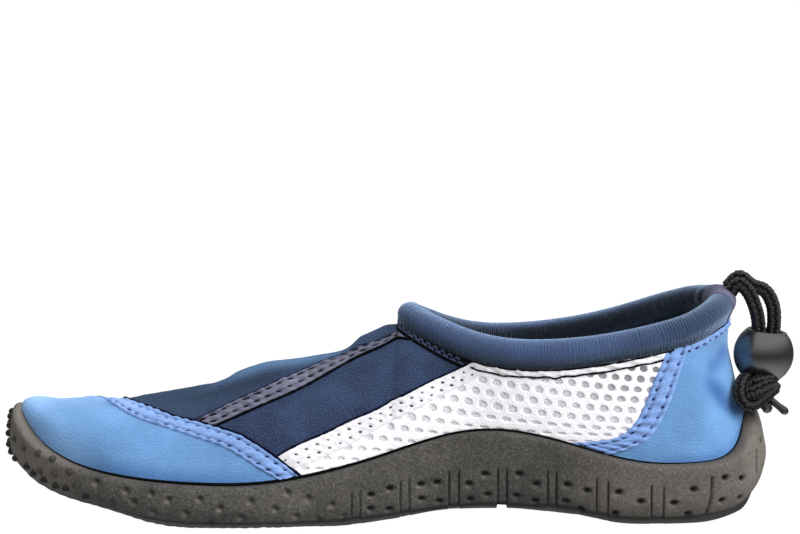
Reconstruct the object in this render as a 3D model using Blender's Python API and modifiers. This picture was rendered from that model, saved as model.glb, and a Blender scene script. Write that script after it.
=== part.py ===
"""Water shoe for the right foot: moulded rubber cupsole, sewn neoprene upper, insole, rolled collar
binding with a heel tab, and a drawcord with a stopper bead and a knot.

X runs from the toe (-) to the heel (+), Y from the inner side of the foot (-) to the outer side (+),
Z up, and the shoe stands on Z = 0. Sizes are in millimetres up to the meshes, which are in metres.

Round the shoe, a station s counts the rows of the tables: 0 at the back of the heel, 7 level with the
throat and 14 at the tip of the toe along the inner side, then back to 28 along the outer side.
"""

import math

import bmesh
import bpy
import numpy as np
from mathutils import Matrix, Vector

MM = 0.001

# Driving sizes
LAST_LENGTH = 249.5  # base of the last, heel to toe
HEEL_X = 125.0  # where the base of the last starts at the heel
BALL_WIDTH = 86.5  # base of the last at the ball of the foot
HEEL_HEIGHT = 68.5  # edge of the upper at the back of the heel
INSTEP_HEIGHT = 65.2  # edge of the upper at the throat
WALL = 2.5  # neoprene of the upper
GAP = 0.3  # clearance between pieces
LIFT = 0.4  # lower edge of the upper and of the insole over the sole's floor
INSOLE = 3.0
INSOLE_INSET = 4.0  # edge of the insole inside the outline of the last
ROLL_RADIUS = 4.7  # collar binding
ROLL_REACH = 5.4  # centre of the binding from the edge of the upper
TAB_RADIUS = 4.85
TAB_INNER, TAB_OUTER = -8.0, 9.0  # the tab's ends across the heel
END_STEP = 0.04  # squares off the ends of the binding and of the tab, in stations
SIPE_WIDTH, SIPE_DEPTH = 3.0, 2.2
CORD = 4.5
BEAD_HEIGHT, BEAD_RADIUS, BEAD_ROUND, BEAD_BORE = 16.5, 10.4, 10.6, 5.6
BEAD_CENTRE, BEAD_TILT = (129.7, 0.0, 55.2), 8.0
KNOT_CENTRE, KNOT_RADII, KNOT_TILT = (128.4, -3.0, 42.2), (7.4, 6.4, 4.1), -10.0

ROWS = 28
THROAT, TOE = 7, 14
STEPS = 3  # stations in each row
COUNT = ROWS * STEPS
HALF = COUNT // 2


def table(columns, *rows):
    """A dict with an array for each named column. A row starts with the name of its section."""
    return {
        name: np.array([row[1 + place] for row in rows], float)
        for place, name in enumerate(columns.split())
    }


# The last: base outline (% of LAST_LENGTH from the heel, % of BALL_WIDTH), then how the side swells
# out of the base (mm), how full it is low down and high up, and its fall at the top edge (degrees).
LAST = table(
    "along inner outer flare base_full top_full fall",
    ("heel_back", 0.0, 0.0, 0.0, 2.5, 0.29, 0.38, 94),
    ("heel_corner", 2.2, 20.2, 20.2, 2.5, 0.31, 0.36, 88),
    ("heel_side", 8.2, 32.4, 32.4, 2.6, 0.35, 0.30, 81),
    ("heel_front", 16.0, 35.8, 36.4, 2.8, 0.34, 0.28, 80),
    ("ankle", 24.8, 35.8, 38.2, 3.0, 0.34, 0.28, 78),
    ("arch", 33.5, 34.1, 40.5, 3.0, 0.34, 0.30, 72),
    ("instep", 41.7, 34.7, 43.9, 3.0, 0.34, 0.34, 48),
    ("throat", 49.9, 38.2, 47.4, 2.5, 0.36, 0.38, 8),
    ("waist", 58.1, 43.4, 50.3, 2.5, 0.38, 0.38, 0),
    ("ball_rear", 67.3, 48.0, 50.9, 2.5, 0.40, 0.38, 0),
    ("ball", 76.4, 49.1, 48.0, 3.0, 0.42, 0.38, 0),
    ("toe_side", 85.4, 45.1, 40.5, 2.8, 0.60, 0.54, 0),
    ("toe_corner", 93.0, 35.8, 27.7, 2.8, 0.88, 0.72, 0),
    ("toe_round", 98.0, 23.1, 10.4, 3.2, 1.10, 0.90, 0),
    ("toe_tip", 100.0, 6.9, -6.9, 3.5, 1.22, 0.97, 0),
)

# Top edge of the upper round the ankle: % of LAST_LENGTH, of BALL_WIDTH and of HEEL_HEIGHT, and how
# far the binding on it leans over the opening (degrees from level).
COLLAR = table(
    "along inner outer inner_height outer_height lean",
    ("heel_back", 3.3, 0.0, 0.0, 100.0, 100.0, 72),
    ("heel_corner", 4.8, 15.6, 15.6, 97.2, 98.2, 75),
    ("heel_side", 9.0, 26.4, 26.4, 90.9, 94.6, 80),
    ("heel_front", 16.2, 31.9, 32.1, 85.0, 85.9, 80),
    ("ankle", 24.4, 33.8, 34.2, 80.6, 78.5, 80),
    ("arch", 32.9, 32.1, 32.8, 79.7, 75.6, 78),
    ("instep", 41.5, 22.0, 22.5, 85.5, 81.0, 65),
    ("throat", 48.5, 3.5, -3.5, 95.2, 95.2, 45),
)

# Crest of the vamp from the throat to the toe: % of LAST_LENGTH, of BALL_WIDTH (towards the inner
# side) and of INSTEP_HEIGHT.
CREST = table(
    "along inner height",
    ("throat", 48.5, 3.5, 100.0),
    ("waist", 55.7, 3.6, 88.0),
    ("ball_rear", 63.7, 4.0, 82.4),
    ("ball", 71.7, 5.2, 73.6),
    ("toe_side", 79.0, 6.4, 65.6),
    ("toe_corner", 84.2, 7.2, 62.0),
    ("toe_round", 87.8, 7.8, 60.9),
    ("toe_tip", 89.4, 8.0, 60.6),
)

# Cupsole: heights of its rim, lower edge, inside floor and keel, widths outside the last of its edge
# and of its bulge, thickness of its rim, and the share of the bottom that is flat.
SOLE = table(
    "rim_in rim_out edge_in edge_out edge_wide bulge rim floor_in floor_out keel flat",
    ("heel_back", 37.5, 37.5, 10.0, 10.0, 1.5, 6.0, 5.4, 14.0, 14.0, 10.0, 0.50),
    ("heel_corner", 26.0, 26.5, 5.8, 5.8, 2.0, 5.6, 4.4, 10.0, 10.0, 2.4, 0.60),
    ("heel_side", 22.0, 22.0, 3.4, 3.4, 2.8, 4.8, 3.6, 8.2, 8.2, 0.0, 0.70),
    ("heel_front", 23.0, 22.0, 3.2, 3.2, 3.0, 4.5, 3.4, 8.0, 8.0, 0.0, 0.70),
    ("ankle", 28.7, 24.0, 4.8, 3.2, 2.6, 4.3, 3.2, 10.0, 8.5, 0.6, 0.60),
    ("arch", 33.3, 26.0, 7.4, 3.5, 1.8, 4.0, 3.0, 13.0, 9.5, 3.0, 0.20),
    ("instep", 32.0, 26.0, 7.0, 3.2, 1.8, 4.0, 3.0, 12.5, 9.0, 2.8, 0.20),
    ("throat", 26.0, 22.0, 4.8, 3.0, 2.3, 4.2, 3.2, 9.5, 8.0, 0.8, 0.50),
    ("waist", 20.5, 18.5, 3.6, 3.2, 2.8, 4.4, 3.2, 7.5, 7.0, 0.0, 0.70),
    ("ball_rear", 16.8, 17.0, 3.5, 3.5, 3.0, 4.6, 3.2, 6.5, 6.5, 0.0, 0.70),
    ("ball", 16.6, 17.0, 3.8, 3.8, 3.0, 4.6, 3.2, 6.8, 6.8, 0.0, 0.68),
    ("toe_side", 18.4, 19.0, 6.0, 6.0, 2.8, 4.8, 3.4, 9.0, 9.0, 2.0, 0.60),
    ("toe_corner", 22.5, 23.5, 10.6, 10.6, 2.4, 5.2, 3.8, 13.5, 13.5, 7.4, 0.50),
    ("toe_round", 30.5, 30.5, 14.8, 14.8, 2.0, 5.8, 4.4, 18.2, 18.2, 13.0, 0.50),
    ("toe_tip", 38.4, 38.4, 17.6, 17.6, 2.0, 6.3, 4.8, 21.0, 21.0, 17.6, 0.50),
)

# Sipes across the bottom, from the waist back to the heel
SIPE_FIRST, SIPE_PITCH, SIPE_COUNT = -10.8, 16.5, 7

# The two runs of the drawcord, from the heel tab over and down through the bead
CORD_NEAR = table(
    "x y z",
    ("out_of_tab", 118.2, -2.4, 78.9),
    ("rising", 120.2, -2.6, 79.0),
    ("over", 122.4, -2.8, 77.4),
    ("falling", 124.7, -2.9, 74.6),
    ("down", 126.6, -2.4, 70.8),
    ("to_bead", 127.9, -1.3, 65.8),
    ("in_bead", 127.7, -0.5, 58.0),
    ("below", 126.4, -0.5, 48.6),
)
CORD_FAR = table(
    "x y z",
    ("out_of_tab", 117.4, 2.8, 79.6),
    ("rising", 119.4, 2.7, 81.2),
    ("over", 122.2, 2.5, 81.4),
    ("falling", 125.8, 2.4, 79.4),
    ("outward", 129.4, 2.2, 76.4),
    ("down", 132.2, 1.8, 72.4),
    ("to_bead", 133.4, 1.2, 67.4),
    ("in_bead", 132.7, 0.5, 58.0),
    ("below", 131.4, 0.5, 48.6),
)


def smooth(values, closed=False):
    """A function through values at 0, 1, 2..., with no kink in slope or bend."""
    values = np.asarray(values, float)
    n = len(values)
    system = 4 * np.eye(n) + np.eye(n, k=1) + np.eye(n, k=-1)
    bend = 6 * (np.roll(values, -1) - 2 * values + np.roll(values, 1))
    if closed:
        system[0, -1] = system[-1, 0] = 1
    else:
        for end in (0, -1):
            system[end] = 0
            system[end, end] = 1
            bend[end] = 0
    bend = np.linalg.solve(system, bend)

    def at(s):
        s = np.asarray(s, float)
        first = np.floor(s).astype(int)
        if not closed:
            first = np.clip(first, 0, n - 2)
        u = s - first
        v = 1 - u
        i, j = first % n, (first + 1) % n
        return (
            v * values[i] + u * values[j] + ((v**3 - v) * bend[i] + (u**3 - u) * bend[j]) / 6
        )

    return at


def steady(values):
    """A function through values at 0, 1, 2... that never passes above or below two neighbours."""
    values = np.asarray(values, float)
    step = np.diff(values)
    slope = np.zeros(len(values))
    same = step[1:] * step[:-1] > 0
    slope[1:-1][same] = 2 * step[1:][same] * step[:-1][same] / (step[1:] + step[:-1])[same]

    def at(s):
        s = np.asarray(s, float)
        i = np.clip(np.floor(s).astype(int), 0, len(values) - 2)
        u = s - i
        return (
            values[i] * (1 + 2 * u) * (1 - u) ** 2
            + slope[i] * u * (1 - u) ** 2
            + values[i + 1] * u**2 * (3 - 2 * u)
            + slope[i + 1] * u**2 * (u - 1)
        )

    return at


def ring(inner, outer):
    """A closed function of s from a column for the inner side and one for the outer side."""
    return smooth(np.concatenate([inner, outer[-2:0:-1]]), closed=True)


def along(percent):
    return HEEL_X - percent / 100 * LAST_LENGTH


def ease(value, start, end):
    u = np.clip((value - start) / (end - start), 0, 1)
    return u * u * (3 - 2 * u)


def unit(vectors):
    return vectors / np.linalg.norm(vectors, axis=-1, keepdims=True)


def both(column):
    return ring(column, column)


WIDE = BALL_WIDTH / 100
BASE_X = both(along(LAST["along"]))
BASE_Y = ring(-LAST["inner"] * WIDE, LAST["outer"] * WIDE)
FLARE, BASE_FULL = both(LAST["flare"]), both(LAST["base_full"])
TOP_FULL, FALL = both(LAST["top_full"]), both(LAST["fall"])
RIM_Z, EDGE_Z = ring(SOLE["rim_in"], SOLE["rim_out"]), ring(SOLE["edge_in"], SOLE["edge_out"])
FLOOR_Z = ring(SOLE["floor_in"], SOLE["floor_out"])
EDGE_WIDE, BULGE, RIM = both(SOLE["edge_wide"]), both(SOLE["bulge"]), both(SOLE["rim"])
KEEL, FLAT = steady(SOLE["keel"]), steady(SOLE["flat"])

COLLAR_X = both(along(COLLAR["along"]))
COLLAR_Y = ring(-COLLAR["inner"] * WIDE, COLLAR["outer"] * WIDE)
COLLAR_Z = ring(
    COLLAR["inner_height"] * HEEL_HEIGHT / 100, COLLAR["outer_height"] * HEEL_HEIGHT / 100
)
COLLAR_LEAN = both(COLLAR["lean"])
CREST_X = smooth(along(CREST["along"]))
CREST_Y = smooth(-CREST["inner"] * WIDE)
CREST_Z = smooth(CREST["height"] * INSTEP_HEIGHT / 100)


def row_of(s):
    """The row of the tables at s, the same on both sides of the shoe."""
    s = np.mod(s, ROWS)
    return np.minimum(s, ROWS - s)


def base(s):
    return np.stack([BASE_X(s), BASE_Y(s), FLOOR_Z(s) + LIFT], -1)


def outward(s):
    """Level direction out of the last at its base."""
    d = 1e-3
    tx, ty = BASE_X(s + d) - BASE_X(s - d), BASE_Y(s + d) - BASE_Y(s - d)
    return unit(np.stack([-ty, tx, np.zeros_like(tx)], -1))


def collar(u):
    """Edge of the upper round the ankle, u being s on the inner side and s - 14 on the outer side."""
    return np.stack([COLLAR_X(u), COLLAR_Y(u), COLLAR_Z(u)], -1)


def collar_inward(u):
    d = 1e-3
    step = collar(u + d) - collar(u - d)
    return unit(np.stack([step[..., 1], -step[..., 0], np.zeros_like(u)], -1))


def crest(row):
    t = np.clip(row, THROAT, TOE) - THROAT
    return np.stack([CREST_X(t), CREST_Y(t), CREST_Z(t)], -1)


def top(s):
    """Top of the side at s: the collar's edge behind the throat, and the vamp's crest before it."""
    s = np.mod(s, ROWS)
    row = row_of(s)
    edge = collar(np.where(s < TOE, np.minimum(s, THROAT), np.maximum(s, ROWS - THROAT) - TOE))
    return np.where((row > THROAT)[..., None], crest(row), edge)


def side_curve(s):
    """The four control points of the upper's outer curve at each s, from the base to the top."""
    row = row_of(s)
    low, high, out = base(s), top(s), outward(s)
    reach = np.linalg.norm(high - low, axis=-1)
    plan = (low - high) * np.array([1, 1, 0])
    lean = unit(
        out * (1 - ease(row, 5, 6.5))[..., None] + unit(plan) * ease(row, 5, 6.5)[..., None]
    )
    d = 1e-3
    ahead, behind = crest(row + d), crest(row - d)
    crest_slope = (ahead - behind)[..., 2] / np.minimum((ahead - behind)[..., 0], -1e-6)
    fall = np.radians(FALL(s))
    drop = -np.sin(fall) + lean[..., 0] * crest_slope * ease(row, THROAT, THROAT + 1)
    outer = lean * np.cos(fall)[..., None] + drop[..., None] * np.array([0, 0, 1])
    rise = (high - low)[..., 2] * BASE_FULL(s)
    swell = low + out * FLARE(s)[..., None] + rise[..., None] * np.array([0, 0, 1])
    return low, swell, high + outer * (TOP_FULL(s) * reach)[..., None], high


CURVE_STEPS = np.linspace(0, 1, 61)


def side_points(s):
    """Points along the side at one s, and how far along it each is, from 0 at the base to 1."""
    t = CURVE_STEPS[:, None]
    a, b, c, d = side_curve(np.float64(s))
    points = (1 - t) ** 3 * a + 3 * t * (1 - t) ** 2 * b + 3 * t * t * (1 - t) * c + t**3 * d
    run = np.concatenate([[0], np.cumsum(np.linalg.norm(np.diff(points, axis=0), axis=1))])
    return points, run / run[-1]


def shell(s, shares):
    """Points on the outside of the upper at one s."""
    points, run = side_points(s)
    return np.stack([np.interp(shares, run, points[:, axis]) for axis in range(3)], -1)


def shell_normal(s, shares):
    d = 0.02
    up = shell(s, np.clip(shares + d, 0, 1)) - shell(s, np.clip(shares - d, 0, 1))
    return unit(np.cross(up, shell(s + d, shares) - shell(s - d, shares)))


def rim_share(s):
    """How far up the side the sole's rim comes."""
    points, run = side_points(s)
    return float(np.interp(RIM_Z(s), points[:, 2], run))


def mesh_object(name, points, faces, folder):
    mesh = bpy.data.meshes.new(name)
    mesh.from_pydata([tuple(p * MM) for p in points], [], faces)
    made = bmesh.new()
    made.from_mesh(mesh)
    bmesh.ops.remove_doubles(made, verts=made.verts, dist=1e-6)
    bmesh.ops.recalc_face_normals(made, faces=made.faces)
    made.to_mesh(mesh)
    made.free()
    obj = bpy.data.objects.new(name, mesh)
    folder.objects.link(obj)
    return obj


def patch(points, faces, edge, columns, place):
    """Adds a surface across the shoe between the ring's points edge(k), from the inner side's k to
    the outer side's COUNT - k. place(k, c) gives a point at share c of the way across."""
    rows = {}
    for k in range(1, HALF):
        row = [edge(k)]
        for c in columns[1:-1]:
            row.append(len(points))
            points.append(place(k, c))
        row.append(edge(COUNT - k))
        rows[k] = row
    for k in range(1, HALF - 1):
        for i in range(len(columns) - 1):
            faces.append((rows[k][i], rows[k][i + 1], rows[k + 1][i + 1], rows[k + 1][i]))
    for i in range(len(columns) - 1):
        faces.append((edge(0), rows[1][i + 1], rows[1][i]))
        faces.append((edge(HALF), rows[HALF - 1][i], rows[HALF - 1][i + 1]))


def halves(a, b, c, d):
    """A four-sided face cut from a to c, the same way on the upper and on the sole round it."""
    return [(a, b, c), (a, c, d)]


def upper(folder):
    low_rows, high_rows = 3, 8
    points, faces, index = [], [], {}
    last = low_rows + high_rows
    for k in range(COUNT):
        s = k / STEPS
        rim = rim_share(s)
        shares = np.concatenate(
            [np.linspace(0, rim, low_rows + 1)[:-1], np.linspace(rim, 1, high_rows + 1)]
        )
        for j, p in enumerate(shell(s, shares)):
            shared = j == last and row_of(s) >= THROAT and k > HALF
            if shared:
                index[k, j] = index[COUNT - k, j]
                continue
            index[k, j] = len(points)
            points.append(p)
    for k in range(COUNT):
        n = (k + 1) % COUNT
        for j in range(last):
            corners = index[k, j], index[k, j + 1], index[n, j + 1], index[n, j]
            faces += halves(*corners) if j < low_rows else [corners]
    obj = mesh_object("upper", points, faces, folder)
    wall = obj.modifiers.new("wall", "SOLIDIFY")
    wall.thickness, wall.offset, wall.use_even_offset = WALL * MM, -1, True
    return obj


SOLE_OUTSIDE = 6  # steps of a section before it turns down inside the rim


def sole_ring(s):
    """The sole's section at one s: up its outside from the lower edge, over the rim and down to the
    floor."""
    foot, out = base(np.float64(s)), outward(np.float64(s))
    rim_z, edge_z, rim = float(RIM_Z(s)), float(EDGE_Z(s)), rim_share(s)
    shares = np.array([rim, rim * 2 / 3, rim / 3])
    inside = shell(s, shares) + GAP * shell_normal(s, shares)
    rim_wide = (inside[0] - foot) @ out + RIM(s)
    edge_wide, bulge, tall = float(EDGE_WIDE(s)), float(BULGE(s)), rim_z - edge_z

    def at(wide, z):
        return np.array([*(foot + out * wide)[:2], z])

    return [
        at(edge_wide, edge_z),
        at(edge_wide + 0.65 * (bulge - edge_wide), edge_z + 0.14 * tall),
        at(bulge, edge_z + 0.40 * tall),
        at((bulge + rim_wide) / 2, edge_z + 0.75 * tall),
        at(rim_wide, rim_z - 1.2),
        at(rim_wide - 0.35 * RIM(s), rim_z),
        *inside,
        at(GAP, float(FLOOR_Z(s))),
    ]


def across(first, second, c):
    return first * (1 - c) + second * c


def bottom_height(s, c):
    """Height of the sole's bottom at share c of the way from the inner to the outer edge."""
    edge = float(EDGE_Z(s)) if c < 0.5 else float(EDGE_Z(ROWS - s))
    keel, flat = float(KEEL(s)), float(FLAT(s))
    return keel + (edge - keel) * max(0.0, (abs(2 * c - 1) - flat) / (1 - flat)) ** 2


BOTTOM_COLUMNS = (0, 0.075, 0.15, 0.325, 0.5, 0.675, 0.85, 0.925, 1)
FLOOR_COLUMNS = (0, 0.25, 0.5, 0.75, 1)


def outsole(folder, cutters):
    rings = [sole_ring(k / STEPS) for k in range(COUNT)]
    deep = len(rings[0])
    points = [p for one in rings for p in one]
    faces = []
    for k in range(COUNT):
        n = (k + 1) % COUNT
        for j in range(deep - 1):
            low, high = (k * deep + j, n * deep + j), (k * deep + j + 1, n * deep + j + 1)
            if j < SOLE_OUTSIDE:
                faces.append((low[0], high[0], high[1], low[1]))
            else:
                faces += halves(high[0], low[0], low[1], high[1])

    def bottom(k, c):
        p = across(rings[k][0], rings[COUNT - k][0], c)
        return np.array([p[0], p[1], bottom_height(k / STEPS, c)])

    patch(points, faces, lambda k: k % COUNT * deep, BOTTOM_COLUMNS, bottom)
    patch(
        points,
        faces,
        lambda k: k % COUNT * deep + deep - 1,
        FLOOR_COLUMNS,
        lambda k, c: across(rings[k][-1], rings[COUNT - k][-1], c),
    )
    obj = mesh_object("outsole", points, faces, folder)
    cut = obj.modifiers.new("sipes", "BOOLEAN")
    cut.operation, cut.solver, cut.object = "DIFFERENCE", "EXACT", sipes(cutters)
    return obj


def sipes(cutters):
    """Bars that follow the bottom across the sole, one for each sipe."""
    points, faces = [], []
    rows = np.linspace(0, TOE, 561)
    for number in range(SIPE_COUNT):
        x = SIPE_FIRST + number * SIPE_PITCH
        s = float(np.interp(-x, -BASE_X(rows), rows))
        inner, outer = sole_ring(s)[0], sole_ring(ROWS - s)[0]
        columns = np.array((-0.12, *BOTTOM_COLUMNS, 1.12))
        start = len(points)
        for c in columns:
            y = across(inner, outer, c)[1]
            roof = bottom_height(s, min(max(c, 0), 1)) + SIPE_DEPTH
            for side in (-0.5, 0.5):
                for z in (roof - 12, roof):
                    points.append(np.array([x + side * SIPE_WIDTH, y, z]))
        for i in range(len(columns) - 1):
            a, b = start + 4 * i, start + 4 * i + 4
            for p, q in ((0, 1), (1, 3), (3, 2), (2, 0)):
                faces.append((a + p, a + q, b + q, b + p))
        for a in (start, start + 4 * (len(columns) - 1)):
            faces.append((a, a + 1, a + 3, a + 2))
    obj = mesh_object("sipe_cutter", points, faces, cutters)
    obj.hide_render, obj.display_type = True, "WIRE"
    return obj


def insole(folder):
    """A footbed inside the upper's wall, following the floor."""
    stations = np.arange(COUNT) / STEPS
    edge = base(stations) - outward(stations) * INSOLE_INSET
    points, faces = [p + np.array([0, 0, INSOLE]) for p in edge], []
    patch(
        points,
        faces,
        lambda k: k % COUNT,
        FLOOR_COLUMNS,
        lambda k, c: across(points[k], points[COUNT - k], c),
    )
    obj = mesh_object("insole", points, faces, folder)
    made = bmesh.new()
    made.from_mesh(obj.data)
    grown = bmesh.ops.extrude_face_region(made, geom=made.faces[:])["geom"]
    bmesh.ops.translate(
        made,
        verts=[g for g in grown if isinstance(g, bmesh.types.BMVert)],
        vec=(0, 0, -INSOLE * MM),
    )
    bmesh.ops.recalc_face_normals(made, faces=made.faces)
    made.to_mesh(obj.data)
    made.free()
    return obj


def roll_centre(u):
    lean = np.radians(COLLAR_LEAN(u))[..., None]
    return collar(u) + ROLL_REACH * (
        collar_inward(u) * np.cos(lean) + np.array([0, 0, 1]) * np.sin(lean)
    )


def tube(name, path, radius, sides, folder):
    """A round bar along the points of path."""
    curve = bpy.data.curves.new(name, "CURVE")
    curve.dimensions = "3D"
    curve.bevel_depth, curve.bevel_resolution, curve.use_fill_caps = radius * MM, sides, True
    spline = curve.splines.new("POLY")
    spline.points.add(len(path) - 1)
    for point, place in zip(spline.points, path):
        point.co = (*(place * MM), 1)
    spline.use_smooth = True
    obj = bpy.data.objects.new(name, curve)
    folder.objects.link(obj)
    return obj


def collar_station(y, side):
    """Where the binding crosses y behind the heel, side -1 on the inner side and 1 on the outer."""
    u = np.linspace(0, 2, 401)
    ys = side * roll_centre(side * -u)[:, 1]
    return float(side * -np.interp(side * y, ys, u))


def collar_binding(folder):
    start = collar_station(TAB_INNER - GAP, -1)
    end = 2 * THROAT + collar_station(TAB_OUTER + GAP, 1)
    between = np.arange(0, 2 * THROAT * STEPS) / STEPS
    inside = between[(between > start + 0.2) & (between < end - 0.2)]
    stations = np.array([start, start + END_STEP, *inside, end - END_STEP, end])
    return tube("collar_binding", roll_centre(stations), ROLL_RADIUS, 4, folder)


def heel_tab(folder):
    start, end = collar_station(TAB_OUTER, 1), collar_station(TAB_INNER, -1)
    inside = np.linspace(start, end, 5)[1:-1]
    stations = np.array([start, start + END_STEP, *inside, end - END_STEP, end])
    return tube("heel_tab", roll_centre(stations), TAB_RADIUS, 4, folder)


def route(points, steps):
    t = np.linspace(0, len(points["x"]) - 1, (len(points["x"]) - 1) * steps + 1)
    return np.stack([smooth(points[axis])(t) for axis in "xyz"], -1)


def cord_bead(folder):
    """A barrel turned about its own axis, with a bore that both runs of the cord share."""
    half = BEAD_HEIGHT / 2
    profile = [(BEAD_BORE, half - 0.4), (BEAD_BORE + 0.5, half)]
    for z in np.linspace(half - 0.5, -half + 0.5, 11):
        profile.append((BEAD_RADIUS * math.sqrt(1 - (z / BEAD_ROUND) ** 2), z))
    profile += [(BEAD_BORE + 0.5, -half), (BEAD_BORE, -half + 0.4), profile[0]]
    mesh = bpy.data.meshes.new("cord_bead")
    mesh.from_pydata(
        [(r * MM, 0, z * MM) for r, z in profile[:-1]],
        [(i, (i + 1) % (len(profile) - 1)) for i in range(len(profile) - 1)],
        [],
    )
    obj = bpy.data.objects.new("cord_bead", mesh)
    folder.objects.link(obj)
    turn = obj.modifiers.new("turn", "SCREW")
    turn.steps = turn.render_steps = 24
    turn.use_merge_vertices, turn.merge_threshold = True, 0.00001
    turn.use_normal_calculate = True
    obj.location = Vector(BEAD_CENTRE) * MM
    obj.rotation_euler = (0, math.radians(BEAD_TILT), 0)
    return obj


def cord_knot(folder, cutters):
    """The knot under the bead, with the two cut ends of the cord."""
    made = bmesh.new()
    bmesh.ops.create_uvsphere(made, u_segments=16, v_segments=10, radius=1)
    place = (
        Matrix.Translation(Vector(KNOT_CENTRE) * MM)
        @ Matrix.Rotation(math.radians(KNOT_TILT), 4, "Y")
        @ Matrix.Diagonal((*(r * MM for r in KNOT_RADII), 1))
    )
    bmesh.ops.transform(made, matrix=place, verts=made.verts)
    mesh = bpy.data.meshes.new("cord_knot")
    made.to_mesh(mesh)
    made.free()
    obj = bpy.data.objects.new("cord_knot", mesh)
    folder.objects.link(obj)
    ends = table(
        "from_x from_y from_z to_x to_y to_z radius",
        ("long_end", 130.0, -2.0, 41.2, 137.0, -4.0, 36.6, CORD / 2),
        ("short_end", 129.0, 1.0, 42.0, 134.0, 2.6, 41.2, CORD / 2),
    )
    for i, name in enumerate(("long_end", "short_end")):
        first = Vector([ends[f"from_{a}"][i] * MM for a in "xyz"])
        second = Vector([ends[f"to_{a}"][i] * MM for a in "xyz"])
        run = second - first
        bar = bmesh.new()
        radius = ends["radius"][i] * MM
        bmesh.ops.create_cone(
            bar, cap_ends=True, segments=10, radius1=radius, radius2=radius, depth=run.length
        )
        turn = run.to_track_quat("Z", "Y").to_matrix().to_4x4()
        bmesh.ops.transform(
            bar, matrix=Matrix.Translation((first + second) / 2) @ turn, verts=bar.verts
        )
        bar_mesh = bpy.data.meshes.new(name)
        bar.to_mesh(bar_mesh)
        bar.free()
        piece = bpy.data.objects.new(name, bar_mesh)
        piece.hide_render, piece.display_type = True, "WIRE"
        cutters.objects.link(piece)
        join = obj.modifiers.new(name, "BOOLEAN")
        join.operation, join.solver, join.object = "UNION", "EXACT", piece
    return obj


# Colour (linear), roughness and metallic value of each piece
FINISH = {
    "outsole": ((0.095, 0.090, 0.080), 0.62, 0.0),
    "upper": ((0.030, 0.045, 0.110), 0.85, 0.0),
    "insole": ((0.020, 0.020, 0.024), 0.90, 0.0),
    "collar_binding": ((0.022, 0.034, 0.085), 0.80, 0.0),
    "heel_tab": ((0.110, 0.105, 0.150), 0.85, 0.0),
    "cord_strand_near": ((0.010, 0.010, 0.011), 0.75, 0.0),
    "cord_strand_far": ((0.010, 0.010, 0.011), 0.75, 0.0),
    "cord_bead": ((0.045, 0.045, 0.047), 0.55, 0.0),
    "cord_knot": ((0.010, 0.010, 0.011), 0.75, 0.0),
}


def finish(obj):
    colour, roughness, metallic = FINISH[obj.name]
    material = bpy.data.materials.new(obj.name)
    material.use_nodes = True
    shader = material.node_tree.nodes["Principled BSDF"]
    shader.inputs["Base Color"].default_value = (*colour, 1)
    shader.inputs["Roughness"].default_value = roughness
    shader.inputs["Metallic"].default_value = metallic
    obj.data.materials.append(material)
    if obj.type == "MESH":
        obj.data.shade_smooth()
        obj.data.set_sharp_from_angle(angle=math.radians(40))


def main():
    for old in list(bpy.data.objects):
        bpy.data.objects.remove(old, do_unlink=True)
    folder = bpy.data.collections.new("water_shoe")
    cutters = bpy.data.collections.new("water_shoe_cutters")
    for collection in (folder, cutters):
        bpy.context.scene.collection.children.link(collection)

    sole = outsole(folder, cutters)
    pieces = [
        sole,
        upper(folder),
        insole(folder),
        collar_binding(folder),
        heel_tab(folder),
        tube("cord_strand_near", route(CORD_NEAR, 2), CORD / 2, 3, folder),
        tube("cord_strand_far", route(CORD_FAR, 2), CORD / 2, 3, folder),
        cord_bead(folder),
        cord_knot(folder, cutters),
    ]
    for piece in pieces:
        finish(piece)

    # The shoe's frame: centred over its sole, which is its largest outline
    corners = np.array([v.co for v in sole.data.vertices])
    middle = (corners.min(axis=0) + corners.max(axis=0)) / 2
    shoe = bpy.data.objects.new("shoe", None)
    folder.objects.link(shoe)
    shoe.location = (-middle[0], -middle[1], 0)
    for piece in [*pieces, *cutters.objects]:
        piece.parent = shoe


if __name__ == "__main__":
    main()
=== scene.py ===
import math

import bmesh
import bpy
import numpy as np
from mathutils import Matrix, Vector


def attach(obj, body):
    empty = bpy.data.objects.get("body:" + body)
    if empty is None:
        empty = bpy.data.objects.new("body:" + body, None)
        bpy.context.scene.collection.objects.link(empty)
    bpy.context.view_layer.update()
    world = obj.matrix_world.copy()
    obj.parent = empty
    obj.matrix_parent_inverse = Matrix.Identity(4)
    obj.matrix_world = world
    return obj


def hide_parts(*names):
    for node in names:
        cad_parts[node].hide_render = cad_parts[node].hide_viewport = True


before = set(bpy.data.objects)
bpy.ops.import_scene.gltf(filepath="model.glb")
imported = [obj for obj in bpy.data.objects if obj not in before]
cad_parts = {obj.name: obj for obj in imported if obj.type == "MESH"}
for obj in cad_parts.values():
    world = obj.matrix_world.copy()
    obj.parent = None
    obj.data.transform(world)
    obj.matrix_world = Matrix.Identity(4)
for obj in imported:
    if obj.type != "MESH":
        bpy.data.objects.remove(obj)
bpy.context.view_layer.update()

# Looks of the water shoe for the right foot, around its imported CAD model.
#
# X runs from the toe (-) to the heel (+), Y from the inner side of the foot (-) to the outer side (+),
# Z up. Sizes are in millimetres in the CAD source's own axes; build() shifts and scales each mesh into
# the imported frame. Round the shoe, a station s counts the rows of the tables: 0 at the back of the heel,
# 7 level with the throat and 14 at the tip of the toe along the inner side, then back to 28 along the
# outer side. A share q runs up the side from 0 at the sole's floor to 1 at the collar or the crest.

MM = 0.001
SHIFT = np.array([-0.100, -0.754, 0.0])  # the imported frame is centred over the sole

# ---------------------------------------------------------------- camera

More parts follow.
